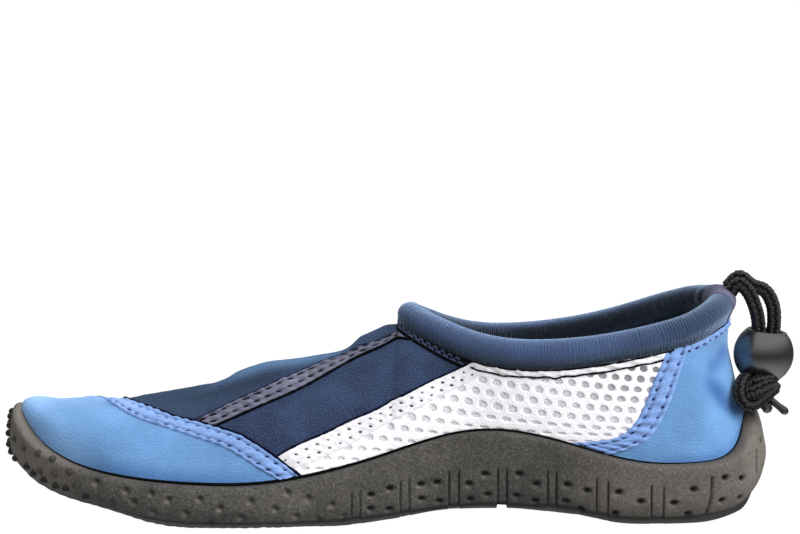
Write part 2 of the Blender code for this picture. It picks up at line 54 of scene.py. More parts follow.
WIDTH, HEIGHT = 800, 534
PIXEL = 262.0 / 760.0  # mm a pixel at the shoe
DISTANCE = 2500.0
RISE = math.radians(8.5)
AIM = np.array([4.14, 0.0, 85.4])
AHEAD = np.array([0.0, math.cos(RISE), -math.sin(RISE)])
ABOVE = np.array([0.0, math.sin(RISE), math.cos(RISE)])


def make_camera():
    lens = bpy.data.cameras.new("camera")
    lens.sensor_width = 36.0
    lens.lens = 36.0 * DISTANCE / (WIDTH * PIXEL)
    lens.clip_start, lens.clip_end = 0.05, 50.0
    lens.dof.use_dof = False
    eye = bpy.data.objects.new("camera", lens)
    eye.location = Vector((AIM + SHIFT - AHEAD * DISTANCE) * MM)
    eye.rotation_euler = (math.pi / 2 - RISE, 0, 0)
    bpy.context.scene.collection.objects.link(eye)
    bpy.context.scene.camera = eye


make_camera()


def project(points):
    """Pixels of the photograph's frame for points in the source's axes."""
    away = np.asarray(points) - AIM
    deep = DISTANCE + away @ AHEAD
    scale = DISTANCE / deep / PIXEL
    return np.stack([WIDTH / 2 + away[..., 0] * scale, HEIGHT / 2 - (away @ ABOVE) * scale], -1)


# ---------------------------------------------------------------- the shoe's own sizes

LAST_LENGTH = 249.5
HEEL_X = 125.0
BALL_WIDTH = 86.5
HEEL_HEIGHT = 68.5
INSTEP_HEIGHT = 65.2
WALL = 2.3
GAP = 0.3
LIFT = 0.4
INSOLE = 3.0
INSOLE_INSET = 4.0
ROLL_RADIUS = 4.7
ROLL_REACH = 5.4
TAB_INNER, TAB_OUTER = -8.0, 9.0
CORD = 4.5
BEAD_HEIGHT, BEAD_RADIUS, BEAD_ROUND, BEAD_BORE = 16.5, 10.4, 10.6, 5.6
BEAD_CENTRE, BEAD_TILT = (129.7, 0.0, 55.2), 8.0
ROWS, THROAT, TOE = 28, 7, 14


def table(columns, *rows):
    """A dict with an array for each named column. A row starts with the name of its section."""
    return {
        name: np.array([row[1 + place] for row in rows], float)
        for place, name in enumerate(columns.split())
    }


LAST = table(
    "along inner outer flare base_full top_full fall",
    ("heel_back", 0.0, 0.0, 0.0, 2.5, 0.29, 0.38, 94),
    ("heel_corner", 2.2, 20.2, 20.2, 2.5, 0.31, 0.36, 88),
    ("heel_side", 8.2, 32.4, 32.4, 2.6, 0.35, 0.30, 81),
    ("heel_front", 16.0, 35.8, 36.4, 2.8, 0.34, 0.28, 80),
    ("ankle", 24.8, 35.8, 38.2, 3.0, 0.34, 0.28, 78),
    ("arch", 33.5, 34.1, 40.5, 3.0, 0.34, 0.30, 72),
    ("instep", 41.7, 34.7, 43.9, 3.0, 0.34, 0.34, 48),
    ("throat", 49.9, 38.2, 47.4, 2.5, 0.36, 0.38, 8),
    ("waist", 58.1, 43.4, 50.3, 2.5, 0.38, 0.38, 0),
    ("ball_rear", 67.3, 48.0, 50.9, 2.5, 0.40, 0.38, 0),
    ("ball", 76.4, 49.1, 48.0, 3.0, 0.42, 0.38, 0),
    ("toe_side", 85.4, 45.1, 40.5, 2.8, 0.60, 0.54, 0),
    ("toe_corner", 93.0, 35.8, 27.7, 2.8, 0.88, 0.72, 0),
    ("toe_round", 98.0, 23.1, 10.4, 3.2, 1.10, 0.90, 0),
    ("toe_tip", 100.0, 6.9, -6.9, 3.5, 1.22, 0.97, 0),
)
COLLAR = table(
    "along inner outer inner_height outer_height lean",
    ("heel_back", 3.3, 0.0, 0.0, 100.0, 100.0, 72),
    ("heel_corner", 4.8, 15.6, 15.6, 97.2, 98.2, 75),
    ("heel_side", 9.0, 26.4, 26.4, 90.9, 94.6, 80),
    ("heel_front", 16.2, 31.9, 32.1, 85.0, 85.9, 80),
    ("ankle", 24.4, 33.8, 34.2, 80.6, 78.5, 80),
    ("arch", 32.9, 32.1, 32.8, 79.7, 75.6, 78),
    ("instep", 41.5, 22.0, 22.5, 85.5, 81.0, 65),
    ("throat", 48.5, 3.5, -3.5, 95.2, 95.2, 45),
)
CREST = table(
    "along inner height",
    ("throat", 48.5, 3.5, 100.0),
    ("waist", 55.7, 3.6, 88.0),
    ("ball_rear", 63.7, 4.0, 82.4),
    ("ball", 71.7, 5.2, 73.6),
    ("toe_side", 79.0, 6.4, 65.6),
    ("toe_corner", 84.2, 7.2, 62.0),
    ("toe_round", 87.8, 7.8, 60.9),
    ("toe_tip", 89.4, 8.0, 60.6),
)
SOLE = table(
    "rim_in rim_out edge_in edge_out edge_wide bulge rim floor_in floor_out keel flat",
    ("heel_back", 37.5, 37.5, 10.0, 10.0, 1.5, 6.0, 5.4, 14.0, 14.0, 10.0, 0.50),
    ("heel_corner", 26.0, 26.5, 5.8, 5.8, 2.0, 5.6, 4.4, 10.0, 10.0, 2.4, 0.60),
    ("heel_side", 22.0, 22.0, 3.4, 3.4, 2.8, 4.8, 3.6, 8.2, 8.2, 0.0, 0.70),
    ("heel_front", 23.0, 22.0, 3.2, 3.2, 3.0, 4.5, 3.4, 8.0, 8.0, 0.0, 0.70),
    ("ankle", 28.7, 24.0, 4.8, 3.2, 2.6, 4.3, 3.2, 10.0, 8.5, 0.6, 0.60),
    ("arch", 33.3, 26.0, 7.4, 3.5, 1.8, 4.0, 3.0, 13.0, 9.5, 3.0, 0.20),
    ("instep", 32.0, 26.0, 7.0, 3.2, 1.8, 4.0, 3.0, 12.5, 9.0, 2.8, 0.20),
    ("throat", 26.0, 22.0, 4.8, 3.0, 2.3, 4.2, 3.2, 9.5, 8.0, 0.8, 0.50),
    ("waist", 20.5, 18.5, 3.6, 3.2, 2.8, 4.4, 3.2, 7.5, 7.0, 0.0, 0.70),
    ("ball_rear", 16.8, 17.0, 3.5, 3.5, 3.0, 4.6, 3.2, 6.5, 6.5, 0.0, 0.70),
    ("ball", 16.6, 17.0, 3.8, 3.8, 3.0, 4.6, 3.2, 6.8, 6.8, 0.0, 0.68),
    ("toe_side", 18.4, 19.0, 6.0, 6.0, 2.8, 4.8, 3.4, 9.0, 9.0, 2.0, 0.60),
    ("toe_corner", 22.5, 23.5, 10.6, 10.6, 2.4, 5.2, 3.8, 13.5, 13.5, 7.4, 0.50),
    ("toe_round", 30.5, 30.5, 14.8, 14.8, 2.0, 5.8, 4.4, 18.2, 18.2, 13.0, 0.50),
    ("toe_tip", 38.4, 38.4, 17.6, 17.6, 2.0, 6.3, 4.8, 21.0, 21.0, 17.6, 0.50),
)
CORD_NEAR = table(
    "x y z",
    ("out_of_tab", 118.2, -2.4, 78.9),
    ("rising", 120.2, -2.6, 80.4),
    ("over", 122.7, -2.8, 79.0),
    ("falling", 125.0, -2.9, 75.9),
    ("down", 126.8, -2.4, 71.4),
    ("to_bead", 127.9, -1.3, 65.8),
    ("in_bead", 127.7, -0.5, 58.0),
    ("below", 126.4, -0.5, 48.6),
)
CORD_FAR = table(
    "x y z",
    ("out_of_tab", 117.4, 2.8, 79.6),
    ("rising", 119.4, 2.7, 81.2),
    ("over", 122.2, 2.5, 81.4),
    ("falling", 125.8, 2.4, 78.6),
    ("outward", 129.7, 2.2, 77.2),
    ("down", 132.5, 1.8, 73.2),
    ("to_bead", 133.4, 1.2, 67.4),
    ("in_bead", 132.7, 0.5, 58.0),
    ("below", 131.4, 0.5, 48.6),
)


def smooth(values, closed=False):
    """A function through values at 0, 1, 2..., with no kink in slope or bend."""
    values = np.asarray(values, float)
    n = len(values)
    system = 4 * np.eye(n) + np.eye(n, k=1) + np.eye(n, k=-1)
    bend = 6 * (np.roll(values, -1) - 2 * values + np.roll(values, 1))
    if closed:
        system[0, -1] = system[-1, 0] = 1
    else:
        for end in (0, -1):
            system[end] = 0
            system[end, end] = 1
            bend[end] = 0
    bend = np.linalg.solve(system, bend)

    def at(s):
        s = np.asarray(s, float)
        first = np.floor(s).astype(int)
        if not closed:
            first = np.clip(first, 0, n - 2)
        u = s - first
        v = 1 - u
        i, j = first % n, (first + 1) % n
        return v * values[i] + u * values[j] + ((v**3 - v) * bend[i] + (u**3 - u) * bend[j]) / 6

    return at


def steady(values):
    """A function through values at 0, 1, 2... that never passes above or below two neighbours."""
    values = np.asarray(values, float)
    step = np.diff(values)
    slope = np.zeros(len(values))
    same = step[1:] * step[:-1] > 0
    slope[1:-1][same] = 2 * step[1:][same] * step[:-1][same] / (step[1:] + step[:-1])[same]

    def at(s):
        s = np.asarray(s, float)
        i = np.clip(np.floor(s).astype(int), 0, len(values) - 2)
        u = s - i
        return (
            values[i] * (1 + 2 * u) * (1 - u) ** 2
            + slope[i] * u * (1 - u) ** 2
            + values[i + 1] * u**2 * (3 - 2 * u)
            + slope[i + 1] * u**2 * (u - 1)
        )

    return at


def ring(inner, outer):
    return smooth(np.concatenate([inner, outer[-2:0:-1]]), closed=True)


def both(column):
    return ring(column, column)


def along(percent):
    return HEEL_X - percent / 100 * LAST_LENGTH


def ease(value, start, end):
    u = np.clip((value - start) / (end - start), 0, 1)
    return u * u * (3 - 2 * u)


def unit(vectors):
    return vectors / np.maximum(np.linalg.norm(vectors, axis=-1, keepdims=True), 1e-12)


WIDE = BALL_WIDTH / 100
BASE_X = both(along(LAST["along"]))
BASE_Y = ring(-LAST["inner"] * WIDE, LAST["outer"] * WIDE)
FLARE, BASE_FULL = both(LAST["flare"]), both(LAST["base_full"])
TOP_FULL, FALL = both(LAST["top_full"]), both(LAST["fall"])
RIM_Z, EDGE_Z = ring(SOLE["rim_in"], SOLE["rim_out"]), ring(SOLE["edge_in"], SOLE["edge_out"])
FLOOR_Z = ring(SOLE["floor_in"], SOLE["floor_out"])
EDGE_WIDE, BULGE, RIM = both(SOLE["edge_wide"]), both(SOLE["bulge"]), both(SOLE["rim"])
KEEL, FLAT = steady(SOLE["keel"]), steady(SOLE["flat"])
COLLAR_X = both(along(COLLAR["along"]))
COLLAR_Y = ring(-COLLAR["inner"] * WIDE, COLLAR["outer"] * WIDE)
COLLAR_Z = ring(
    COLLAR["inner_height"] * HEEL_HEIGHT / 100, COLLAR["outer_height"] * HEEL_HEIGHT / 100
)
COLLAR_LEAN = both(COLLAR["lean"])
CREST_X = smooth(along(CREST["along"]))
CREST_Y = smooth(-CREST["inner"] * WIDE)
CREST_Z = smooth(CREST["height"] * INSTEP_HEIGHT / 100)


def row_of(s):
    s = np.mod(s, ROWS)
    return np.minimum(s, ROWS - s)


def base(s):
    return np.stack([BASE_X(s), BASE_Y(s), FLOOR_Z(s) + LIFT], -1)


def outward(s):
    d = 1e-3
    tx, ty = BASE_X(s + d) - BASE_X(s - d), BASE_Y(s + d) - BASE_Y(s - d)
    return unit(np.stack([-ty, tx, np.zeros_like(tx)], -1))


def collar(u):
    return np.stack([COLLAR_X(u), COLLAR_Y(u), COLLAR_Z(u)], -1)


def collar_inward(u):
    d = 1e-3
    step = collar(u + d) - collar(u - d)
    return unit(np.stack([step[..., 1], -step[..., 0], np.zeros_like(u)], -1))


def crest(row):
    t = np.clip(row, THROAT, TOE) - THROAT
    return np.stack([CREST_X(t), CREST_Y(t), CREST_Z(t)], -1)


def top(s):
    s = np.mod(s, ROWS)
    row = row_of(s)
    edge = collar(np.where(s < TOE, np.minimum(s, THROAT), np.maximum(s, ROWS - THROAT) - TOE))
    return np.where((row > THROAT)[..., None], crest(row), edge)


def side_curve(s):
    """The four control points of the upper's outer curve at each s, from the base to the top."""
    row = row_of(s)
    low, high, out = base(s), top(s), outward(s)
    reach = np.linalg.norm(high - low, axis=-1)
    plan = (low - high) * np.array([1, 1, 0])
    lean = unit(
        out * (1 - ease(row, 5, 6.5))[..., None] + unit(plan) * ease(row, 5, 6.5)[..., None]
    )
    d = 1e-3
    ahead, behind = crest(row + d), crest(row - d)
    crest_slope = (ahead - behind)[..., 2] / np.minimum((ahead - behind)[..., 0], -1e-6)
    fall = np.radians(FALL(s))
    drop = -np.sin(fall) + lean[..., 0] * crest_slope * ease(row, THROAT, THROAT + 1)
    outer = lean * np.cos(fall)[..., None] + drop[..., None] * np.array([0, 0, 1])
    rise = (high - low)[..., 2] * BASE_FULL(s)
    swell = low + out * FLARE(s)[..., None] + rise[..., None] * np.array([0, 0, 1])
    return low, swell, high + outer * (TOP_FULL(s) * reach)[..., None], high


def roll_centre(u):
    lean = np.radians(COLLAR_LEAN(u))[..., None]
    return collar(u) + ROLL_REACH * (
        collar_inward(u) * np.cos(lean) + np.array([0, 0, 1]) * np.sin(lean)
    )


def collar_station(y, side):
    """Where the binding crosses y behind the heel, side -1 on the inner side and 1 on the outer."""
    u = np.linspace(0, 2, 401)
    ys = side * roll_centre(side * -u)[:, 1]
    return float(side * -np.interp(side * y, ys, u))


def route(points, steps):
    t = np.linspace(0, len(points["x"]) - 1, (len(points["x"]) - 1) * steps + 1)
    return np.stack([smooth(points[axis])(t) for axis in "xyz"], -1)


# ---------------------------------------------------------------- meshes


def build(
    name,
    points,
    quads=(),
    tris=(),
    materials=(),
    replaces=(),
    uv=None,
    fields=None,
    parts=None,
    sharp=None,
):
    """A mesh piece that rides on the shoe. fields are numbers a point, parts a material a face."""
    quads = np.asarray(quads, int).reshape(-1, 4)
    tris = np.asarray(tris, int).reshape(-1, 3)
    mesh = bpy.data.meshes.new(name)
    places = (np.asarray(points, float) + SHIFT) * MM
    mesh.from_pydata(places.tolist(), [], quads.tolist() + tris.tolist())
    mesh.polygons.foreach_set("use_smooth", np.ones(len(mesh.polygons), bool))
    if parts is not None:
        mesh.polygons.foreach_set("material_index", np.asarray(parts, np.int32))
    if uv is not None:
        corner = np.empty(len(mesh.loops), np.int32)
        mesh.loops.foreach_get("vertex_index", corner)
        layer = mesh.uv_layers.new(name="weave")
        layer.uv.foreach_set("vector", np.asarray(uv, np.float32)[corner].ravel())
    for field, values in (fields or {}).items():
        mesh.attributes.new(field, "FLOAT", "POINT").data.foreach_set(
            "value", np.asarray(values, np.float32).ravel()
        )
    for one in materials:
        mesh.materials.append(one)
    if sharp:
        mesh.set_sharp_from_angle(angle=math.radians(sharp))
    mesh.update()
    obj = bpy.data.objects.new(name, mesh)
    bpy.context.scene.collection.objects.link(obj)
    if replaces:
        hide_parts(*replaces)
    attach(obj, "root")
    return obj


def sheet_quads(n, m, closed_n=False, closed_m=False):
    """Faces of an n by m sheet of points, joined end to end where it is closed."""
    i = np.arange(n if closed_n else n - 1)
    j = np.arange(m if closed_m else m - 1)
    i, j = np.meshgrid(i, j, indexing="ij")
    k, l = (i + 1) % n, (j + 1) % m
    return np.stack([i * m + j, k * m + j, k * m + l, i * m + l], -1).reshape(-1, 4)


def transport(path):
    """Tangents of a path, and two cross directions that turn as little as possible along it."""
    tangent = unit(np.gradient(path, axis=0))
    first = np.array([0.0, 0.0, 1.0]) if abs(tangent[0, 2]) < 0.9 else np.array([1.0, 0.0, 0.0])
    sides = []
    side = unit(first - tangent[0] * (first @ tangent[0]))
    for t in tangent:
        side = unit(side - t * (side @ t))
        sides.append(side)
    sides = np.array(sides)
    return tangent, sides, np.cross(tangent, sides)


def tube_mesh(path, radius, sides=8, flat=1.0, frames=None):
    """Points and faces of a bar with domed ends along a path. radius may change along it."""
    path = np.asarray(path, float)
    tangent, a, b = frames or transport(path)
    radius = np.broadcast_to(np.asarray(radius, float), (len(path),))
    angle = np.arange(sides) * 2 * math.pi / sides
    rings = path[:, None] + radius[:, None, None] * (
        np.cos(angle)[None, :, None] * a[:, None] + flat * np.sin(angle)[None, :, None] * b[:, None]
    )
    ends = []
    for place, way in ((0, -1), (-1, 1)):
        for share, out in ((0.75, 0.5), (0.0, 0.8)):
            shift = path[place] + way * tangent[place] * radius[place] * out
            ends.append((shift, rings[place] - path[place], share))
    (c0, r0, f0), (t0, _, _), (c1, r1, f1), (t1, _, _) = ends
    rings = np.concatenate([[c0 + r0 * f0], rings, [c1 + r1 * f1]])
    n = len(rings)
    points = np.concatenate([rings.reshape(-1, 3), [t0], [t1]])
    quads = sheet_quads(n, sides, closed_m=True)
    j = np.arange(sides)
    k = (j + 1) % sides
    tris = np.concatenate(
        [
            np.stack([np.full(sides, n * sides), j, k], -1),
            np.stack([np.full(sides, n * sides + 1), (n - 1) * sides + k, (n - 1) * sides + j], -1),
        ]
    )
    return points, quads, tris


def gather(meshes):
    """One set of points and faces from many (points, quads, tris)."""
    points, quads, tris, start = [], [], [], 0
    for p, q, t in meshes:
        points.append(p)
        quads.append(np.asarray(q, int).reshape(-1, 4) + start)
        tris.append(np.asarray(t, int).reshape(-1, 3) + start)
        start += len(p)
    return np.concatenate(points), np.concatenate(quads), np.concatenate(tris)


# ---------------------------------------------------------------- materials


def linear(*rgb):
    out = []
    for value in rgb:
        c = value / 255
        out.append(c / 12.92 if c <= 0.04045 else ((c + 0.055) / 1.055) ** 2.4)
    return tuple(out)


class Shade:
    """A material under construction: add() makes a node, and a socket given as a value is linked."""

    def __init__(self, name, **sockets):
        self.material = bpy.data.materials.new(name)
        self.material.use_nodes = True
        self.tree = self.material.node_tree
        self.shader = self.tree.nodes["Principled BSDF"]
        for socket, value in sockets.items():
            self.shader.inputs[socket.replace("_", " ")].default_value = value

    def add(self, kind, inputs=(), **settings):
        node = self.tree.nodes.new(kind)
        for key, value in settings.items():
            setattr(node, key, value)
        for key, value in dict(inputs).items():
            self.set(node.inputs[key], value)
        return node

    def set(self, socket, value):
        if isinstance(value, bpy.types.NodeSocket):
            self.tree.links.new(value, socket)
        else:
            socket.default_value = value

    def into(self, socket, value):
        self.set(self.shader.inputs[socket], value)

    def math(self, operation, first, second=None, third=None, clamp=False):
        node = self.add("ShaderNodeMath", operation=operation, use_clamp=clamp)
        for place, value in enumerate((first, second, third)):
            if value is not None:
                self.set(node.inputs[place], value)
        return node.outputs[0]

    def place(self, weave=False):
        """Coordinates in millimetres: along and across the cloth, or in the shoe's frame."""
        if weave:
            return self.add("ShaderNodeUVMap", uv_map="weave").outputs[0]
        at = self.add("ShaderNodeTexCoord").outputs["Object"]
        return self.add("ShaderNodeMapping", {"Vector": at, "Scale": (1000, 1000, 1000)}).outputs[0]

    def noise(self, place, scale, detail=3.0, rough=0.55):
        return self.add(
            "ShaderNodeTexNoise",
            {"Vector": place, "Scale": scale, "Detail": detail, "Roughness": rough},
        ).outputs[0]

    def field(self, name):
        return self.add("ShaderNodeAttribute", attribute_name=name).outputs["Fac"]

    def ramp(self, value, stops):
        node = self.add("ShaderNodeValToRGB", {"Fac": value})
        parts = node.color_ramp.elements
        while len(parts) < len(stops):
            parts.new(0.5)
        for part, (at, colour) in zip(parts, stops):
            part.position, part.color = at, (*colour, 1)
        return node.outputs[0]

    def mix(self, share, first, second, blend="MIX"):
        node = self.add("ShaderNodeMix", data_type="RGBA", blend_type=blend)
        self.set(node.inputs[0], share)
        for place, value in ((6, first), (7, second)):
            self.set(node.inputs[place], value if isinstance(value, bpy.types.NodeSocket) else (*value, 1))
        return node.outputs[2]

    def bump(self, height, deep, strength=1.0):
        """Bump of a height in units of deep millimetres."""
        return self.add(
            "ShaderNodeBump", {"Height": height, "Distance": deep * MM, "Strength": strength}
        ).outputs[0]


def times(colour, share):
    return tuple(min(1.0, c * share) for c in colour)


def cloth(
    name,
    colour,
    weave=True,
    wale=0.95,
    course=0.7,
    deep=0.10,
    vary=0.16,
    line=0.10,
    rough=0.86,
    sheen=0.25,
    tint=None,
    dark=None,
    fleck=0.7,
    knit=True,
    painted_shade=None,
    painted_highlight=None,
):
    """Knitted cloth: wales and courses as bump and faint lines, or only an uneven nap, and soft colour changes. Fields
    of a piece mix in a painted highlight, painted shade, and dark stitch holes with painted shadow along them.
    """
    shade = Shade(name, Roughness=rough, Sheen_Weight=sheen, Sheen_Roughness=0.45)
    shade.shader.inputs["Specular IOR Level"].default_value = 0.25
    shade.shader.inputs["Sheen Tint"].default_value = (*(tint or times(colour, 1.6)), 1)
    at = shade.place(weave)
    if knit:
        parts = shade.add("ShaderNodeSeparateXYZ", {"Vector": at}).outputs
        wales = shade.math("SINE", shade.math("MULTIPLY", parts[0], 2 * math.pi / wale))
        turn = shade.math("MULTIPLY", shade.math("ABSOLUTE", wales), 1.6)
        courses = shade.math(
            "SINE", shade.math("ADD", shade.math("MULTIPLY", parts[1], 2 * math.pi / course), turn)
        )
        loops = shade.math("MULTIPLY_ADD", courses, 0.5, wales)
    else:
        long = shade.add("ShaderNodeMapping", {"Vector": at, "Scale": (1 / wale, 1 / course, 1)}).outputs[0]
        loops = shade.math("MULTIPLY_ADD", shade.noise(long, 1.0, 2.0, 0.5), 4.0, -2.0)
    fuzz = shade.noise(at, 1.9, 4.0, 0.7)
    patch = shade.noise(shade.place(False), 0.085, 3.0)
    height = shade.math("MULTIPLY_ADD", fuzz, 1.4, loops)
    shade.into("Normal", shade.bump(height, deep))
    tone = shade.math(
        "ADD",
        shade.math("MULTIPLY_ADD", patch, 0.75, 0.12),
        shade.math("MULTIPLY", shade.math("SUBTRACT", fuzz, 0.5), fleck),
    )
    tone = shade.math("MULTIPLY_ADD", loops, line, tone)
    paint = shade.ramp(
        tone, [(0.15, times(colour, 1 - 1.3 * vary)), (0.5, colour), (0.9, times(colour, 1 + 1.5 * vary))]
    )
    # painted highlight and painted shade, mixed into the cloth's colour by fields of the piece
    if painted_highlight is not None:
        paint = shade.mix(shade.field("painted_highlight"), paint, painted_highlight)
    if painted_shade is not None:
        paint = shade.mix(shade.field("shade"), paint, painted_shade)
    if dark is not None:
        paint = shade.mix(shade.field("pit_and_shade"), paint, dark)
    shade.into("Base Color", paint)
    return shade.material


LIGHT_BLUE = linear(95, 137, 184)
TAPE_BLUE = linear(119, 150, 203)
NAVY = linear(45, 57, 84)
MAUVE = linear(101, 101, 120)
WHITE = linear(217, 215, 219)

# Some cloths carry the colours of a painted shade and a painted highlight, which fields of their pieces mix in
MATERIALS = {
    "light_blue": cloth("light_blue_neoprene", LIGHT_BLUE, wale=2.6, course=0.5, deep=0.06, vary=0.20, line=0.05,
                        fleck=1.5, sheen=0.5, tint=linear(190, 220, 250), knit=False, painted_shade=linear(44, 88, 148),
                        painted_highlight=linear(128, 170, 220)),
    "navy": cloth("navy_neoprene", NAVY, wale=0.8, course=0.55, deep=0.18, vary=0.52, line=0.12, fleck=2.3, sheen=0.30,
                  tint=linear(110, 160, 205), knit=False, painted_shade=linear(20, 27, 46),
                  painted_highlight=linear(82, 114, 150)),
    # the lining's dark navy, made darker still as painted shade inside the shoe
    "lining": cloth("lining", linear(14, 15, 20), deep=0.10, vary=0.25, sheen=0.08),
    "tape_blue": cloth("blue_seam_tape", TAPE_BLUE, wale=0.7, course=1.1, deep=0.08, vary=0.18, line=0.04, fleck=1.0,
                       dark=linear(12, 22, 76), sheen=0.35, tint=linear(190, 215, 250), knit=False),
    "mauve": cloth("mauve_seam_tape", MAUVE, wale=0.7, course=1.2, deep=0.08, vary=0.30, line=0.06, fleck=1.2,
                   dark=linear(5, 5, 9), knit=False),
    "white_tape": cloth("white_seam_tape", WHITE, wale=0.7, course=0.7, deep=0.04, vary=0.05, line=0.02,
                        dark=linear(6, 6, 9), tint=(1, 1, 1), sheen=0.1, knit=False),
    "net": cloth("white_air_mesh", linear(233, 232, 236), wale=0.6, course=0.6, deep=0.06, vary=0.06, line=0.03, fleck=1.0,
                 tint=(1, 1, 1), sheen=0.1, knit=False),
    "binding": cloth("navy_binding", linear(59, 76, 110), wale=0.5, course=3.0, deep=0.12, vary=0.22, line=0.06,
                     fleck=1.2, sheen=1.0, tint=linear(170, 198, 228), knit=False, painted_shade=linear(6, 8, 13),
                     painted_highlight=linear(88, 108, 142)),
    "footbed": cloth("footbed", linear(30, 30, 36), weave=False, wale=1.4, course=1.4, deep=0.15, vary=0.3),
    "tab": cloth("mauve_tab", linear(93, 94, 117), wale=0.8, course=0.8, deep=0.12, vary=0.2, line=0.08, fleck=1.0),
}


def thread(name, colour):
    """Twisted sewing thread; the same finish also draws the dark cords of painted shadow lines."""
    shade = Shade(name, Roughness=0.8)
    shade.shader.inputs["Specular IOR Level"].default_value = 0.12
    at = shade.place()
    fuzz = shade.noise(at, 3.2, 3.0)
    shade.into("Base Color", shade.ramp(fuzz, [(0.3, times(colour, 0.7)), (0.7, times(colour, 1.25))]))
    shade.into("Normal", shade.bump(fuzz, 0.08))
    return shade.material


# black thread also draws painted shadow lines; the blue-black and navy edges draw painted shadows along the tapes'
# edges
MATERIALS["black_thread_and_shadow"] = thread("black_thread_and_shadow", linear(5, 5, 8))
MATERIALS["blue_edge_shadow"] = thread("blue_black_edge_shadow", linear(8, 10, 34))
# near-black finish of the band that stands for the shadow in the gap above the sole's rim
MATERIALS["welt"] = thread("rim_welt", linear(6, 6, 6))
MATERIALS["navy_thread"] = thread("navy_thread", linear(66, 74, 104))
MATERIALS["navy_edge_shadow"] = thread("navy_edge_shadow", linear(34, 41, 66))


def backing():
    """Close grey lining seen through the holes of the air mesh."""
    shade = Shade("mesh_backing", Roughness=0.9)
    at = shade.place(True)
    parts = shade.add("ShaderNodeSeparateXYZ", {"Vector": at}).outputs
    u = shade.math("SINE", shade.math("MULTIPLY", parts[0], 2 * math.pi / 1.3))
    v = shade.math("SINE", shade.math("MULTIPLY", parts[1], 2 * math.pi / 1.2))
    grid = shade.math("MULTIPLY", u, v)
    fuzz = shade.noise(at, 1.1, 3.0)
    tone = shade.math("MULTIPLY_ADD", grid, 0.10, fuzz)
    paint = shade.ramp(tone, [(0.3, linear(176, 175, 184)), (0.5, linear(200, 199, 206)), (0.72, linear(226, 225, 230))])
    # painted shade where the lining lies back from the mesh
    shade.into("Base Color", shade.mix(shade.field("hollow_shade"), paint, linear(58, 58, 66)))
    shade.into("Normal", shade.bump(grid, 0.04))
    return shade.material


MATERIALS["backing"] = backing()


def rubber():
    """Moulded rubber: warm dark grey, fine grain, paler where it has been rubbed and where a painted highlight lights
    the lips of its cups, near black with painted shade in its pits and grooves, along its edges and inside the cup.
    """
    shade = Shade("sole_rubber")
    shade.shader.inputs["Specular IOR Level"].default_value = 0.35
    at = shade.place()
    grain = shade.noise(at, 1.7, 5.0, 0.7)
    cloud = shade.noise(at, 0.07, 4.0, 0.6)
    speck = shade.noise(at, 1.25, 5.0, 0.75)
    tone = shade.math("MULTIPLY_ADD", cloud, 0.25, shade.math("MULTIPLY", speck, 0.75))
    colour = shade.ramp(
        tone, [(0.36, linear(44, 43, 41)), (0.5, linear(70, 68, 65)), (0.64, linear(102, 99, 94))]
    )
    # lighter where the rubber is rubbed, and where a painted highlight falls
    worn_and_lit = shade.math("MULTIPLY", shade.field("wear_and_highlight"), shade.math("MULTIPLY_ADD", speck, 1.3, 0.1))
    colour = shade.mix(worn_and_lit, colour, linear(128, 121, 114))
    # painted shade in the pits, grooves and slits, along the edges and inside the cup
    colour = shade.mix(shade.field("pit_and_shade"), colour, linear(10, 10, 10))
    shade.into("Base Color", colour)
    shade.into("Roughness", shade.math("MULTIPLY_ADD", grain, 0.25, 0.5))
    height = shade.math("MULTIPLY_ADD", speck, 0.8, grain)
    shade.into("Normal", shade.bump(height, 0.16))
    return shade.material


MATERIALS["rubber"] = rubber()


def nub_rubber():
    shade = Shade("nub_rubber")
    at = shade.place()
    grain = shade.noise(at, 1.7, 5.0, 0.7)
    # a lighter top, partly wear and partly painted highlight
    worn_and_lit = shade.field("wear_and_highlight")
    colour = shade.ramp(grain, [(0.3, linear(54, 53, 50)), (0.7, linear(86, 83, 79))])
    colour = shade.mix(worn_and_lit, colour, linear(168, 163, 154))
    # near black where a nub is drawn dark, and painted shade round its foot
    colour = shade.mix(shade.field("pit_and_shade"), colour, linear(10, 10, 10))
    shade.into("Base Color", colour)
    shade.into("Roughness", shade.math("MULTIPLY_ADD", grain, 0.2, 0.42))
    shade.into("Normal", shade.bump(grain, 0.10))
    return shade.material


MATERIALS["nub"] = nub_rubber()


def cord_yarn():
    """Black polyester yarn of the braid, with fine filaments along each strand."""
    shade = Shade("cord_yarn", Roughness=0.45)
    shade.shader.inputs["Specular IOR Level"].default_value = 0.3
    at = shade.place()
    fuzz = shade.noise(at, 3.0, 4.0, 0.7)
    yarn = shade.ramp(fuzz, [(0.3, linear(14, 13, 13)), (0.52, linear(42, 40, 39)), (0.7, linear(96, 91, 87))])
    # near black as painted shade between the lobes and on the core, the yarn's colour where the lobes are painted lit
    shade.into("Base Color", shade.mix(shade.field("lobe_light"), linear(3, 3, 3), yarn))
    shade.into("Normal", shade.bump(fuzz, 0.14))
    return shade.material


MATERIALS["cord"] = cord_yarn()


def plastic(name, colour, rough, deep, ior):
    shade = Shade(name, IOR=ior)
    at = shade.place()
    grain = shade.noise(at, 2.2, 4.0, 0.6)
    cloud = shade.noise(at, 0.15, 3.0)
    shade.into("Base Color", shade.ramp(cloud, [(0.3, times(colour, 0.82)), (0.7, times(colour, 1.2))]))
    shade.into("Roughness", shade.math("MULTIPLY_ADD", grain, 0.18, rough))
    shade.into("Normal", shade.bump(grain, deep))
    return shade.material


MATERIALS["bead"] = plastic("bead_plastic", linear(22, 20, 18), 0.20, 0.015, 2.5)
MATERIALS["melted"] = plastic("melted_cord_end", linear(26, 24, 22), 0.24, 0.05, 1.9)

# ---------------------------------------------------------------- cords first


